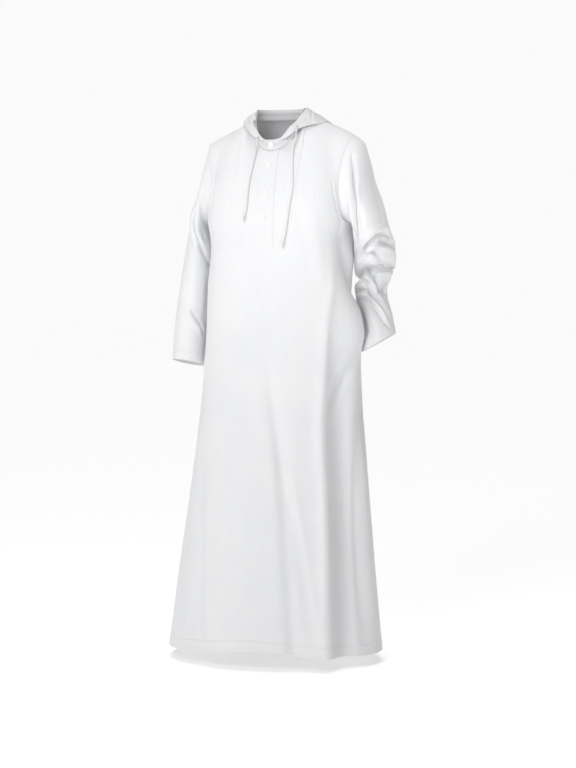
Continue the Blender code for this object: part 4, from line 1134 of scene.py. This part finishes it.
def mixed(node, share, first, second):
    """A colour between two, by a share from 0 to 1."""
    return node("Mix", {0: share, 6: (*first, 1), 7: (*second, 1)}, data_type="RGBA").node.outputs[2]


def in_space(node):
    """The place on the object, in metres."""
    return node("TexCoord").node.outputs["Object"]


def cotton(node, streaks, painted_shade_factor):
    """Plain-woven white cotton with slubs along the warp, soft creasing and a faint bloom; a factor below 1
    darkens its colour as painted shade.
    """
    weave, place = node("UVMap", uv_map="weave"), in_space(node)
    parts = node("SeparateXYZ", {0: weave}).node.outputs
    warp, weft = (calc(node, "SINE", calc(node, "MULTIPLY", parts[k], 2 * pi / look().thread_pitch))
                  for k in range(2))
    slub = noise(node, node("Mapping", {0: weave, 3: (420.0, 16.0, 1.0)}), 1.0, 3.0, 0.55)
    streak = noise(node, node("Mapping", {0: weave, 3: (55.0, 3.2, 1.0)}), 1.0, 2.0)
    crumple = noise(node, place, 17.0, 4.0, 0.55, 0.6)
    cloud = noise(node, place, 6.0, 2.0)
    threads = calc(node, "ADD", calc(node, "MULTIPLY", calc(node, "MULTIPLY", warp, weft), 0.35), slub)
    fine = bump(node, 0.22, 0.00025, threads)
    soft = bump(node, 0.30 * streaks, 0.0016, streak, fine)
    rumpled = bump(node, 0.35 * streaks, 0.0030, crumple, soft)
    # a factor below 1 darkens the white and its greyer mix as painted shade, on the hood and the neckband
    white = [channel * painted_shade_factor for channel in look().cloth_colour]
    shade = [channel * share for channel, share in zip(white, (0.955, 0.958, 0.968))]
    grain = calc(node, "ADD", calc(node, "MULTIPLY", slub, 0.45), calc(node, "MULTIPLY", cloud, 0.55))
    return {"Normal": rumpled, "Base Color": mixed(node, ranged(node, grain, 0.36, 0.62, 0, 1), shade, white),
            "Roughness": ranged(node, slub, 0.3, 0.7, 0.70, 0.86),
            "Sheen Weight": 0.22, "Sheen Roughness": 0.45, "Specular IOR Level": 0.30}


def sewing_thread(node):
    """Twisted white sewing thread."""
    ply = noise(node, in_space(node), 1400.0, 2.0)
    return {"Base Color": mixed(node, ply, (0.80, 0.80, 0.79), (0.90, 0.90, 0.89)),
            "Normal": bump(node, 0.4, 0.0001, ply),
            "Roughness": 0.5, "Sheen Weight": 0.1}


def braid(node):
    """Braided white cotton cord, with its plaits following the cord and painted shade in the grooves between
    them.
    """
    lay = node("UVMap", uv_map="lay")
    parts = node("SeparateXYZ", {0: lay}).node.outputs
    around = calc(node, "MULTIPLY", parts[0], 2 * pi * BRAID_STRANDS / 2)
    along = calc(node, "MULTIPLY", parts[1], 2 * pi / BRAID_PITCH)
    left, right = (calc(node, "SINE", calc(node, way, around, along)) for way in ("ADD", "SUBTRACT"))
    plait = calc(node, "MULTIPLY", left, right)
    fibre = noise(node, node("Mapping", {0: lay, 3: (30.0, 900.0, 1.0)}), 1.0, 3.0)
    # the cord's colour is set greyer than the cloth as painted shade
    colour = look().cord_colour_with_painted_shade
    return {"Normal": bump(node, 0.5, 0.0003, calc(node, "ADD", plait, fibre)),
            # painted shade: the colour is 10 % darker where the plait is low, in the grooves between the
            # strands
            "Base Color": mixed(node, ranged(node, plait, -0.6, 0.6, 0, 1),
                                [channel * 0.90 for channel in colour], colour),
            "Roughness": 0.75, "Sheen Weight": 0.2}


def pearl(node):
    """Pearly resin of the buttons, with faint clouds."""
    cloud = noise(node, in_space(node), 160.0, 3.0, distortion=1.5)
    colour = look().button_colour
    return {"Base Color": mixed(node, ranged(node, cloud, 0.35, 0.65, 0, 1),
                                [channel * 0.97 for channel in colour], colour),
            "Roughness": ranged(node, cloud, 0.3, 0.7, 0.16, 0.28),
            "Normal": bump(node, 0.1, 0.0002, cloud),
            "Coat Weight": 0.15, "Coat Roughness": 0.15}


def matt_floor(node):
    """Matt pale studio floor."""
    grain = noise(node, in_space(node), 30.0, 3.0)
    return {"Base Color": mixed(node, grain, (0.86, 0.86, 0.86), (0.88, 0.88, 0.88)),
            "Roughness": 0.9, "Specular IOR Level": 0.1, "Emission Color": (1, 1, 1, 1),
            "Emission Strength": look_of_studio().floor_glow}


# Drawstring
BRAID_STRANDS, BRAID_PITCH = 8, 0.0052
CORD_SIDES = 20
CORD_RING_STEP = 0.0009
FRAY = 9                    # loose strands at the end of a tail


def resampled(line, step):
    """A line of points spaced evenly, with both ends kept, and their distances along it."""
    run = lengths(line)
    places = np.linspace(0, run[-1], max(int(round(run[-1] / step)), 2) + 1)
    return read_at(places, run, line), places


def tube(name, line, radius, step=CORD_RING_STEP, plaited=True, tips=(1.0, 1.0)):
    """A closed tube along a smooth line. Its surface rises and falls with the plaits of the braid."""
    points, run = resampled(line, step)
    ways = np.gradient(points, axis=0)
    ways /= np.linalg.norm(ways, axis=1)[:, None]
    first = Vector(ways[0]).orthogonal().normalized()
    across = [np.array(first)]
    for before, way in zip(ways[:-1], ways[1:]):
        turn = Vector(before).rotation_difference(Vector(way))
        side = turn @ Vector(across[-1])
        side -= Vector(way) * side.dot(Vector(way))
        across.append(np.array(side.normalized()))
    across = np.array(across)
    beside = np.cross(ways, across)
    around = np.linspace(0, 2 * pi, CORD_SIDES, endpoint=False)
    strand, lay = BRAID_STRANDS / 2 * around[None, :], 2 * pi * run[:, None] / BRAID_PITCH
    plait = np.sin(strand + lay) * np.sin(strand - lay)
    out = radius * (1 + (0.055 * plait - 0.03 if plaited else 0 * plait))
    ends = np.ones(len(points))
    ends[0], ends[-1] = tips
    out = out * ends[:, None]
    grid = (points[:, None] + np.cos(around)[None, :, None] * across[:, None] * out[..., None]
            + np.sin(around)[None, :, None] * beside[:, None] * out[..., None])
    rows, columns = grid.shape[:2]
    faces, uvs = [], []
    for i in range(rows - 1):
        for j in range(columns):
            k = (j + 1) % columns
            faces.append((i * columns + j, i * columns + k, (i + 1) * columns + k, (i + 1) * columns + j))
            uvs += [((j + right) / columns, run[i + up]) for right, up in ((0, 0), (1, 0), (1, 1), (0, 1))]
    faces.append(tuple(range(columns))[::-1])
    faces.append(tuple(range((rows - 1) * columns, rows * columns)))
    uvs += [(0, 0)] * (2 * columns)
    piece = add_piece(name, mesh(name, grid.reshape(-1, 3), faces, "lay", uvs))
    piece.data.materials.append(finished("braided white cord", braid))
    return piece


def knot_line(end, along):
    """Line of an overhand knot drawn tight at the end of a cord, from the cord to the tail."""
    down = Vector(along).normalized()
    side = down.orthogonal().normalized()
    deep = down.cross(side)
    middle = Vector(end) + down * (KNOT_RADIUS + SEAM_GAP)
    line = []
    for t in np.linspace(0, 2 * pi, 97)[:-1]:
        x, y, z = sin(t) + 2 * sin(2 * t), cos(t) - 2 * cos(2 * t), -sin(3 * t)
        line.append(middle + side * (x * KNOT_CURL) + deep * (z * KNOT_CURL * 1.5)
                    - down * (y * KNOT_CURL * 1.25))
    return [tuple(point) for point in line], middle, down


# Pieces
COTTON = ("soft white cotton", 1.35, 1.0)
CLOTH_FINISHES = {          # name of the finish, strength of its creasing, and share of the cloth's lightness, lowered on the hood and the neckband as painted shade
    # the hood halves and the neckband are darker copies of the cotton: painted shade
    "hood_left": ("much washed white cotton", 1.7, 0.925),
    "hood_right": ("much washed white cotton", 1.7, 0.925),
    "neckband": ("pressed white cotton", 1.0, 0.885),
}
BUTTON_EDGE = 0.0014        # rounding of a button's edges
BUTTON_RIM, BUTTON_SLOPE = 0.22, 0.13       # width of its flat rim and of the slope inside, in radii
BUTTON_DISH = 0.28          # depth of its middle as a share of its thickness
BUTTON_HOLE, BUTTON_HOLE_AT = 0.00085, 0.0020 * 0.707      # radius, and place to both sides of the middle
FLOOR_SIZE = 60.0
SPOT = {"spot_blend": 1.0, "shadow_soft_size": 0.4}
HORIZON_RISE = (0.17, 0.30)             # the backdrop fades to the dome between these heights
SHADE_FROM_TO = (0.10, 0.75)            # and darkens towards the wearer's left between these


def look_of_studio():
    """The settings of camera and light."""
    return bpy.context.scene.thobe_studio


def look():
    """The cloth settings of the scene."""
    return bpy.context.scene.thobe_cloth


def make_cloth(name, grid, normals, held, rests_on=(), closed=False, capped=False, thickness=None):
    """One cut piece of cloth, finished, in place of its plain solid."""
    piece = cloth_shell(name + "_cloth", grid, normals, closed, capped, thickness)
    # the settings are the strength of the creasing and the lightness left after painted shade
    label, *settings = CLOTH_FINISHES.get(name, COTTON)
    piece.data.materials.append(finished(label, cotton, *settings))
    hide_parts(name)
    return piece


def sewn(name):
    """Fine outer points of a sewn piece, drawn in by half a seam gap, and its normals."""
    work = fine_surfaces()
    return drawn_in(work["outer"][name], name.startswith("sleeve")), work["normals"][name]


def placket_grid():
    """Fine outer points of the placket, lying on the front, with its normals."""
    work = fine_surfaces()
    levels = work["levels"]
    first = int(np.argmin(np.abs(levels - PLACKET_END)))
    middle = int(np.argmin(np.abs(FINE_FRONT_TURNS)))
    under, up = strip(work["grids"]["front"][first:], work["normals"]["front"][first:], middle,
                      PLACKET_HALF * np.linspace(-1, 1, FINE_PLACKET_COLUMNS))
    short = PLACKET_SHORT * FINE_YOKE_ROWS / YOKE_ROWS_OF_SOLID
    under[-1] += (under[-2] - under[-1]) * min(short, 0.9)
    grid = under + up * (PLACKET_GAP + WALL)
    sides = np.minimum(edge_run(grid, 1, False), edge_run(grid, 1, True))
    near = np.minimum(sides, edge_run(grid, 0, False))
    dip = (-PLACKET_GROOVE * bell(near - PLACKET_STITCH, STITCH_GROOVE_HALF)
           - PLACKET_PRESSED * (1 - smooth_step(0, 0.0022, near)))
    return drawn_in(grid + up * dip[..., None], False), up


def line_beside(grid, normals, off, axis=0, last=False, base=None):
    """Line of points and normals at a distance from the first or last row (or column) of a grid."""
    run = edge_run(grid if base is None else base, axis, last)
    if axis:
        grid, normals, run = (np.swapaxes(values, 0, 1) for values in (grid, normals, run))
    if last:
        grid, normals, run = grid[::-1], normals[::-1], run[::-1]
    return tuple(np.array([read_at(off, run[:, j], values[:, j]) for j in range(grid.shape[1])])
                 for values in (grid, normals))


def piece_line(name, off, last=False):
    """The same along the first or last row of a sewn piece."""
    work = fine_surfaces()
    return line_beside(work["outer"][name], work["normals"][name], off, last=last, base=work["grids"][name])


class THOBE_PG_cloth(bpy.types.PropertyGroup):
    """Sizes and colours of the cloth, trimmings and cord."""
    cloth_thickness: bpy.props.FloatProperty(
        name="Cloth thickness", description="Thickness of the cotton cloth", default=0.0010, min=0.0004,
        max=WALL, unit="LENGTH", precision=5)
    thread_pitch: bpy.props.FloatProperty(
        name="Thread pitch", description="Length after which the weave repeats", default=0.00085,
        min=0.0004, max=0.003, unit="LENGTH", precision=5)
    stitch_step: bpy.props.FloatProperty(
        name="Stitch step", description="Distance from one stitch to the next", default=STITCH_STEP,
        min=0.0028, max=0.006, unit="LENGTH", precision=5)
    cloth_colour: bpy.props.FloatVectorProperty(
        name="Cloth colour", description="Colour of the cotton", subtype="COLOR", size=3,
        default=(0.875, 0.878, 0.885), min=0, max=1)
    # set greyer than the cloth, as painted shade on the drawstring
    cord_colour_with_painted_shade: bpy.props.FloatVectorProperty(
        name="Cord colour", description="Colour of the drawstring", subtype="COLOR", size=3,
        default=(0.80, 0.80, 0.795), min=0, max=1)
    button_colour: bpy.props.FloatVectorProperty(
        name="Button colour", description="Colour of the buttons", subtype="COLOR", size=3,
        default=(0.975, 0.975, 0.97), min=0, max=1)


class THOBE_PG_studio(bpy.types.PropertyGroup):
    """Camera and light."""
    camera_turn: bpy.props.FloatProperty(
        name="Camera turn", description="Where the camera stands round the garment", default=radians(18.0),
        subtype="ANGLE")
    camera_rise: bpy.props.FloatProperty(
        name="Camera rise", description="How far the camera looks down", default=radians(2.2),
        subtype="ANGLE")
    camera_distance: bpy.props.FloatProperty(
        name="Camera distance", description="From the camera to the garment's axis", default=5.0,
        unit="LENGTH")
    lens: bpy.props.FloatProperty(
        name="Lens", description="Focal length in millimetres", default=85.5)
    key_strength: bpy.props.FloatProperty(
        name="Key light", description="Strength of the large soft light from above", default=1.5)
    key_softness: bpy.props.FloatProperty(
        name="Key softness", description="How wide the key light is", default=radians(36), subtype="ANGLE")
    near_power: bpy.props.FloatProperty(
        name="Near light", description="Power of the soft light before the chest", default=26.4, unit="POWER")
    shoulder_power: bpy.props.FloatProperty(
        name="Shoulder light", description="Power of the soft spot light on the left shoulder", default=32.0,
        unit="POWER")
    arm_power: bpy.props.FloatProperty(
        name="Arm light", description="Power of the soft spot light on the outside of the left sleeve",
        default=72.0, unit="POWER")
    horizon: bpy.props.FloatProperty(
        name="Horizon", description="Strength of the bright backdrop all round", default=0.96)
    side_shade: bpy.props.FloatProperty(
        name="Side shade", description="Share of the backdrop's light that the wearer's left side gets",
        default=0.45)
    floor_glow: bpy.props.FloatProperty(
        name="Floor glow", description="How strongly the floor shines, as over a light table", default=0.46)
    dome: bpy.props.FloatProperty(
        name="Dome", description="Strength of the even light from above", default=0.08)


def aimed(name, data, place, target):
    """A camera or light at a place, looking at a target."""
    made = bpy.data.objects.new(name, data)
    bpy.context.scene.collection.objects.link(made)
    turn = (Vector(target) - Vector(place)).to_track_quat("-Z", "Y")
    made.matrix_world = Matrix.LocRotScale(Vector(place), turn, None)
    return made


class THOBE_OT_stage(bpy.types.Operator):
    """Set up the camera, the pale floor and the soft light"""
    bl_idname = "thobe.stage"
    bl_label = "Stage"

    def execute(self, context):
        scene, studio = context.scene, context.scene.thobe_studio
        lens = bpy.data.cameras.new("camera")
        lens.lens, lens.sensor_width = studio.lens, 36.0
        lens.shift_x = AXIS_SHIFT / IMAGE_HIGH
        turn, rise = studio.camera_turn, studio.camera_rise
        way = Vector((sin(turn) * cos(rise), -cos(turn) * cos(rise), sin(rise)))
        scene.camera = aimed("camera", lens, AIM + way * studio.camera_distance, AIM)
        for name, kind, settings, place, target in (
                ("key", "SUN", {"energy": studio.key_strength, "angle": studio.key_softness},
                 AIM + Vector((-0.10, 0.35, 2.40)) * 2, AIM),
                ("near", "AREA", {"shape": "DISK", "size": 1.2, "energy": studio.near_power},
                 (-0.22, -2.4, 0.6), (0, 0, -0.25)),
                ("shoulder", "SPOT", {"energy": studio.shoulder_power, "spot_size": radians(17), **SPOT},
                 (1.5, -2.4, 0.5), (0.25, 0, -0.12)),
                ("arm", "SPOT", {"energy": studio.arm_power, "spot_size": radians(16), **SPOT},
                 (2.6, -1.5, 0.4), (0.22, 0, -0.17))):
            lamp = bpy.data.lights.new(name, kind)
            for key, value in settings.items():
                setattr(lamp, key, value)
            aimed(name, lamp, place, target)
        scene.world = bpy.data.worlds.new("studio")
        scene.world.use_nodes = True
        tree = scene.world.node_tree
        node = node_maker(tree)
        way = node("SeparateXYZ", {0: node("TexCoord").node.outputs["Generated"]}).node.outputs
        light = calc(node, "MULTIPLY", ranged(node, way[2], *HORIZON_RISE, studio.horizon, studio.dome),
                     ranged(node, way[0], *SHADE_FROM_TO, 1, studio.side_shade))
        seen = node("LightPath").node.outputs["Is Camera Ray"]
        wire(tree, tree.nodes["Background"], {
            "Color": (1, 1, 1, 1), "Strength": node("Mix", {0: seen, 2: light, 3: studio.horizon})})
        scene.view_settings.view_transform = "Standard"
        bpy.ops.object.select_all(action="DESELECT")
        bpy.ops.mesh.primitive_circle_add(vertices=96, radius=FLOOR_SIZE / 2, fill_type="NGON",
                                          location=(0, 0, FLOOR))
        floor = context.object
        floor.name = "floor"
        bpy.ops.object.transform_apply(location=True, rotation=True, scale=True)
        floor.data.materials.append(finished("pale floor", matt_floor))
        return {"FINISHED"}


class THOBE_OT_drawstring(bpy.types.Operator):
    """Lay the two free ends of the drawstring, with their knots"""
    bl_idname = "thobe.drawstring"
    bl_label = "Drawstring"

    def execute(self, context):
        chest = surface_tree(panel(True, FRONT_TURNS, HEIGHTS, YOKE_ROWS_OF_SOLID))
        for side, name in ((-1, "right"), (1, "left")):
            line = cord_line(side, chest)
            fine = smoothed_line(line, 6)
            cord = tube(f"drawstring_{name}_braid", fine, CORD_RADIUS)
            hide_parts(f"drawstring_{name}")
            way = (line[-1] - line[-2]) / np.linalg.norm(line[-1] - line[-2])
            curl, middle, down = knot_line(line[-1], way)
            knot = self.knot(f"knot_{name}_tied", curl, middle, down)
            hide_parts(f"knot_{name}")
        return {"FINISHED"}

    def knot(self, name, curl, middle, down):
        """The tied knot and its short frayed tail, as one piece."""
        def rod(start, way, long, places):
            return np.array([tuple(start + way * (long * t)) for t in places])

        loop = tube(name, np.array(curl + curl[:3]), CORD_RADIUS * 0.86)
        top, start = middle - down * (KNOT_RADIUS * 0.98), middle + down * (KNOT_RADIUS * 0.5)
        parts = [tube("core", rod(top, down, KNOT_RADIUS * 1.9, np.linspace(0, 1, 12)), CORD_RADIUS * 0.98),
                 tube("tail", rod(start, down, KNOT_RADIUS * 1.42, np.linspace(0, 1, 10)), CORD_RADIUS * 0.92,
                      tips=(1.0, 1.12))]
        side = down.orthogonal().normalized()
        for number in range(FRAY):
            out = Matrix.Rotation(number * 2 * pi / FRAY, 3, down) @ side
            reach = CORD_RADIUS * (0.35 + 0.35 * ((number * 5) % FRAY) / FRAY)
            root = start + down * (KNOT_RADIUS * 1.38) + out * reach
            tip = root + down * 0.0009 + out * (0.0003 + 0.0001 * (number % 3))
            parts.append(tube(f"strand{number}", rod(root, tip - root, 1, (0, 0.5, 1)), CORD_RADIUS * 0.26,
                              step=0.0004, plaited=False, tips=(1.0, 0.6)))
        return joined(loop, parts)


class THOBE_OT_body(bpy.types.Operator):
    """Make the front and the back of the body"""
    bl_idname = "thobe.body"
    bl_label = "Front and back"

    def execute(self, context):
        for name in ("front", "back"):
            make_cloth(name, *sewn(name), held="hung")
        return {"FINISHED"}


class THOBE_OT_sleeves(bpy.types.Operator):
    """Make both sleeves"""
    bl_idname = "thobe.sleeves"
    bl_label = "Sleeves"

    def execute(self, context):
        for name in ("sleeve_left", "sleeve_right"):
            make_cloth(name, *sewn(name), held="hung", closed=True)
        return {"FINISHED"}


class THOBE_OT_hood(bpy.types.Operator):
    """Make the two halves of the folded hood"""
    bl_idname = "thobe.hood"
    bl_label = "Hood"

    def execute(self, context):
        for name in ("hood_left", "hood_right"):
            make_cloth(name, *sewn(name), held="folded", rests_on=["neckband"])
        return {"FINISHED"}


class THOBE_OT_neckband(bpy.types.Operator):
    """Make the standing neckband"""
    bl_idname = "thobe.neckband"
    bl_label = "Neckband"

    def execute(self, context):
        grid, normals = sewn("neckband")
        make_cloth("neckband", grid + (0, 0, BAND_LIFT), normals, held="gathered", thickness=WALL * 0.9)
        return {"FINISHED"}


class THOBE_OT_placket(bpy.types.Operator):
    """Make the placket on the front"""
    bl_idname = "thobe.placket"
    bl_label = "Placket"

    def execute(self, context):
        make_cloth("placket", *placket_grid(), held="laid", rests_on=["front"], thickness=WALL * 0.95)
        return {"FINISHED"}


class THOBE_OT_pocket(bpy.types.Operator):
    """Make the pocket bag inside the left side seam"""
    bl_idname = "thobe.pocket"
    bl_label = "Pocket bag"

    def execute(self, context):
        work = fine_surfaces()
        levels = work["levels"]
        rows = [i for i, level in enumerate(levels) if SLIT_END - 1e-4 <= level <= SLIT_TOP + 1e-4]
        bag = pocket_bag(work["grids"]["front"], work["grids"]["back"], work["normals"]["front"],
                         work["normals"]["back"], rows)
        normals = shared_normals({"bag": (bag, True)})["bag"]
        make_cloth("pocket_left", bag, normals, held="hung", rests_on=["front", "back"], closed=True,
                   capped=True)
        return {"FINISHED"}


class THOBE_OT_buttons(bpy.types.Operator):
    """Model one button with its four holes and copy it to its four places"""
    bl_idname = "thobe.buttons"
    bl_label = "Buttons"

    def execute(self, context):
        model = self.model(context)
        face = surface_tree(placket_grid()[0])
        places = [(number, *seen_from_front(face, x, height))
                  for number, (x, height) in enumerate(PLACKET_BUTTONS, 2)]
        rows = band(np.array([-1.0, 0.0, 1.0]), np.array([0, BAND_BUTTON_RISE, 1]))
        places.append((1, *seen_from_front(surface_tree(rows), 0, rows[1, 1, 2])))
        for number, place, normal in places:
            data = model.data.copy()
            turn = normal.to_track_quat("Z", "Y")
            data.transform(Matrix.LocRotScale(place + normal * LAY_GAP, turn, None))
            button = add_piece(f"button_{number}_pearl", data)
            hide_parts(f"button_{number}")
            data.materials.append(finished("pearly white button", pearl))
            self.sew_on(number, place + normal * LAY_GAP, turn)
        bpy.data.objects.remove(model)
        return {"FINISHED"}

    def model(self, context):
        """A dished button with a rounded rim and four drilled holes."""
        bpy.ops.object.select_all(action="DESELECT")
        bpy.ops.mesh.primitive_cylinder_add(vertices=48, radius=BUTTON_RADIUS, depth=BUTTON_THICKNESS,
                                            location=(0, 0, BUTTON_THICKNESS / 2))
        model = context.object
        bpy.ops.object.transform_apply(location=True, rotation=False, scale=False)
        bpy.ops.object.mode_set(mode="EDIT")
        pick(model, "FACE", lambda face: face.normal.z > 0.9)
        bpy.ops.mesh.inset(thickness=BUTTON_RADIUS * BUTTON_RIM, depth=0)
        bpy.ops.mesh.inset(thickness=BUTTON_RADIUS * BUTTON_SLOPE, depth=-BUTTON_THICKNESS * BUTTON_DISH)
        pick(model, "EDGE", lambda edge: abs(edge.verts[0].co.z - edge.verts[1].co.z) < 1e-7 and all(
            abs(hypot(*end.co.xy) - BUTTON_RADIUS) < 1e-6 for end in edge.verts))
        bpy.ops.mesh.bevel(offset=BUTTON_EDGE, segments=6, profile=0.5)
        bpy.ops.object.mode_set(mode="OBJECT")
        holes = []
        for x, y in product((1, -1), repeat=2):
            bpy.ops.mesh.primitive_cylinder_add(
                vertices=16, radius=BUTTON_HOLE, depth=BUTTON_THICKNESS * 3,
                location=(x * BUTTON_HOLE_AT, y * BUTTON_HOLE_AT, 0))
            holes.append(context.object)
        drill = joined(holes[0], holes[1:])
        alone(model)
        cutter = model.modifiers.new("holes", "BOOLEAN")
        cutter.object, cutter.operation, cutter.solver = drill, "DIFFERENCE", "EXACT"
        bpy.ops.object.modifier_apply(modifier="holes")
        bpy.data.objects.remove(drill)
        bpy.ops.object.shade_smooth_by_angle(angle=radians(35))
        return model

    def sew_on(self, number, place, turn):
        """Two pairs of threads across the button's holes."""
        places = []
        for y in (-BUTTON_HOLE_AT, BUTTON_HOLE_AT):
            for off in (-0.00028, 0.00028):
                high = BUTTON_THICKNESS * (1 - BUTTON_DISH) + STITCH_THICK * 0.35
                spot = Matrix.Translation((0, y + off, high))
                stretch = Matrix.Diagonal((2.4 * BUTTON_HOLE_AT / STITCH_LENGTH * 1.15, 1.15, 1.3, 1))
                places.append(Matrix.LocRotScale(place, turn, None) @ spot @ stretch)
        sew(f"button_{number}_thread", places)


class THOBE_OT_stitching(bpy.types.Operator):
    """Sew the hem, cuffs, placket, neckband, hood and pocket edges with small real stitches"""
    bl_idname = "thobe.stitching"
    bl_label = "Stitching"

    def execute(self, context):
        work = fine_surfaces()
        for name in ("front", "back"):
            sew(f"hem_stitches_{name}", stitch_places(*piece_line(name, HEM_DEEP)))
        for name in ("left", "right"):
            cuff = piece_line(f"sleeve_{name}", CUFF_DEEP, True)
            sew(f"cuff_stitches_{name}", stitch_places(*(np.concatenate([line, line[:1]]) for line in cuff)))
            sew(f"hood_stitches_{name}", stitch_places(*piece_line(f"hood_{name}", RIM_DEEP, True)))
        placket = placket_grid()
        places = stitch_places(*line_beside(*placket, PLACKET_STITCH, 1))
        places += stitch_places(*line_beside(*placket, PLACKET_STITCH, 1, True))
        for deep in (PLACKET_STITCH, PLACKET_BOX):
            places += stitch_places(*(line[2:-2] for line in line_beside(*placket, deep)))
        sew("placket_stitches", places)
        neckband = work["outer"]["neckband"] + (0, 0, BAND_LIFT), work["normals"]["neckband"]
        places = stitch_places(*line_beside(*neckband, BAND_STITCH_LOW))
        places += stitch_places(*line_beside(*neckband, BAND_STITCH_HIGH, last=True))
        sew("neckband_stitches", places)
        levels = work["levels"]
        rows = np.flatnonzero((levels >= SLIT_END - SLIT_STITCH_PAST)
                              & (levels <= SLIT_TOP + SLIT_STITCH_PAST))
        slit = line_beside(work["outer"]["front"][rows], work["normals"]["front"][rows], SLIT_STITCH, 1, True,
                           work["grids"]["front"][rows])
        sew("pocket_stitches", stitch_places(*slit))
        return {"FINISHED"}


STEPS = (THOBE_OT_stage, THOBE_OT_drawstring, THOBE_OT_body, THOBE_OT_sleeves, THOBE_OT_hood,
         THOBE_OT_neckband, THOBE_OT_placket, THOBE_OT_pocket, THOBE_OT_buttons, THOBE_OT_stitching)


class THOBE_PT_pieces(bpy.types.Panel):
    """The garment's pieces and their sizes"""
    bl_label = "Thobe"
    bl_idname = "THOBE_PT_pieces"
    bl_space_type = "VIEW_3D"
    bl_region_type = "UI"
    bl_category = "Thobe"

    def draw(self, context):
        for settings in (context.scene.thobe_cloth, context.scene.thobe_studio):
            box = self.layout.box()
            for name in settings.__annotations__:
                box.prop(settings, name)
        for step in STEPS:
            self.layout.operator(step.bl_idname)


CLASSES = (THOBE_PG_cloth, THOBE_PG_studio, *STEPS, THOBE_PT_pieces)


def register():
    for kind in CLASSES:
        bpy.utils.register_class(kind)
    bpy.types.Scene.thobe_cloth = bpy.props.PointerProperty(type=THOBE_PG_cloth)
    bpy.types.Scene.thobe_studio = bpy.props.PointerProperty(type=THOBE_PG_studio)


def unregister():
    del bpy.types.Scene.thobe_studio
    del bpy.types.Scene.thobe_cloth
    for kind in reversed(CLASSES):
        bpy.utils.unregister_class(kind)


def main():
    """Make every piece in order."""
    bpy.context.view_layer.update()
    register()
    for step in STEPS:
        getattr(bpy.ops.thobe, step.bl_idname.split(".")[1])()


if __name__ == "__main__":
    main()
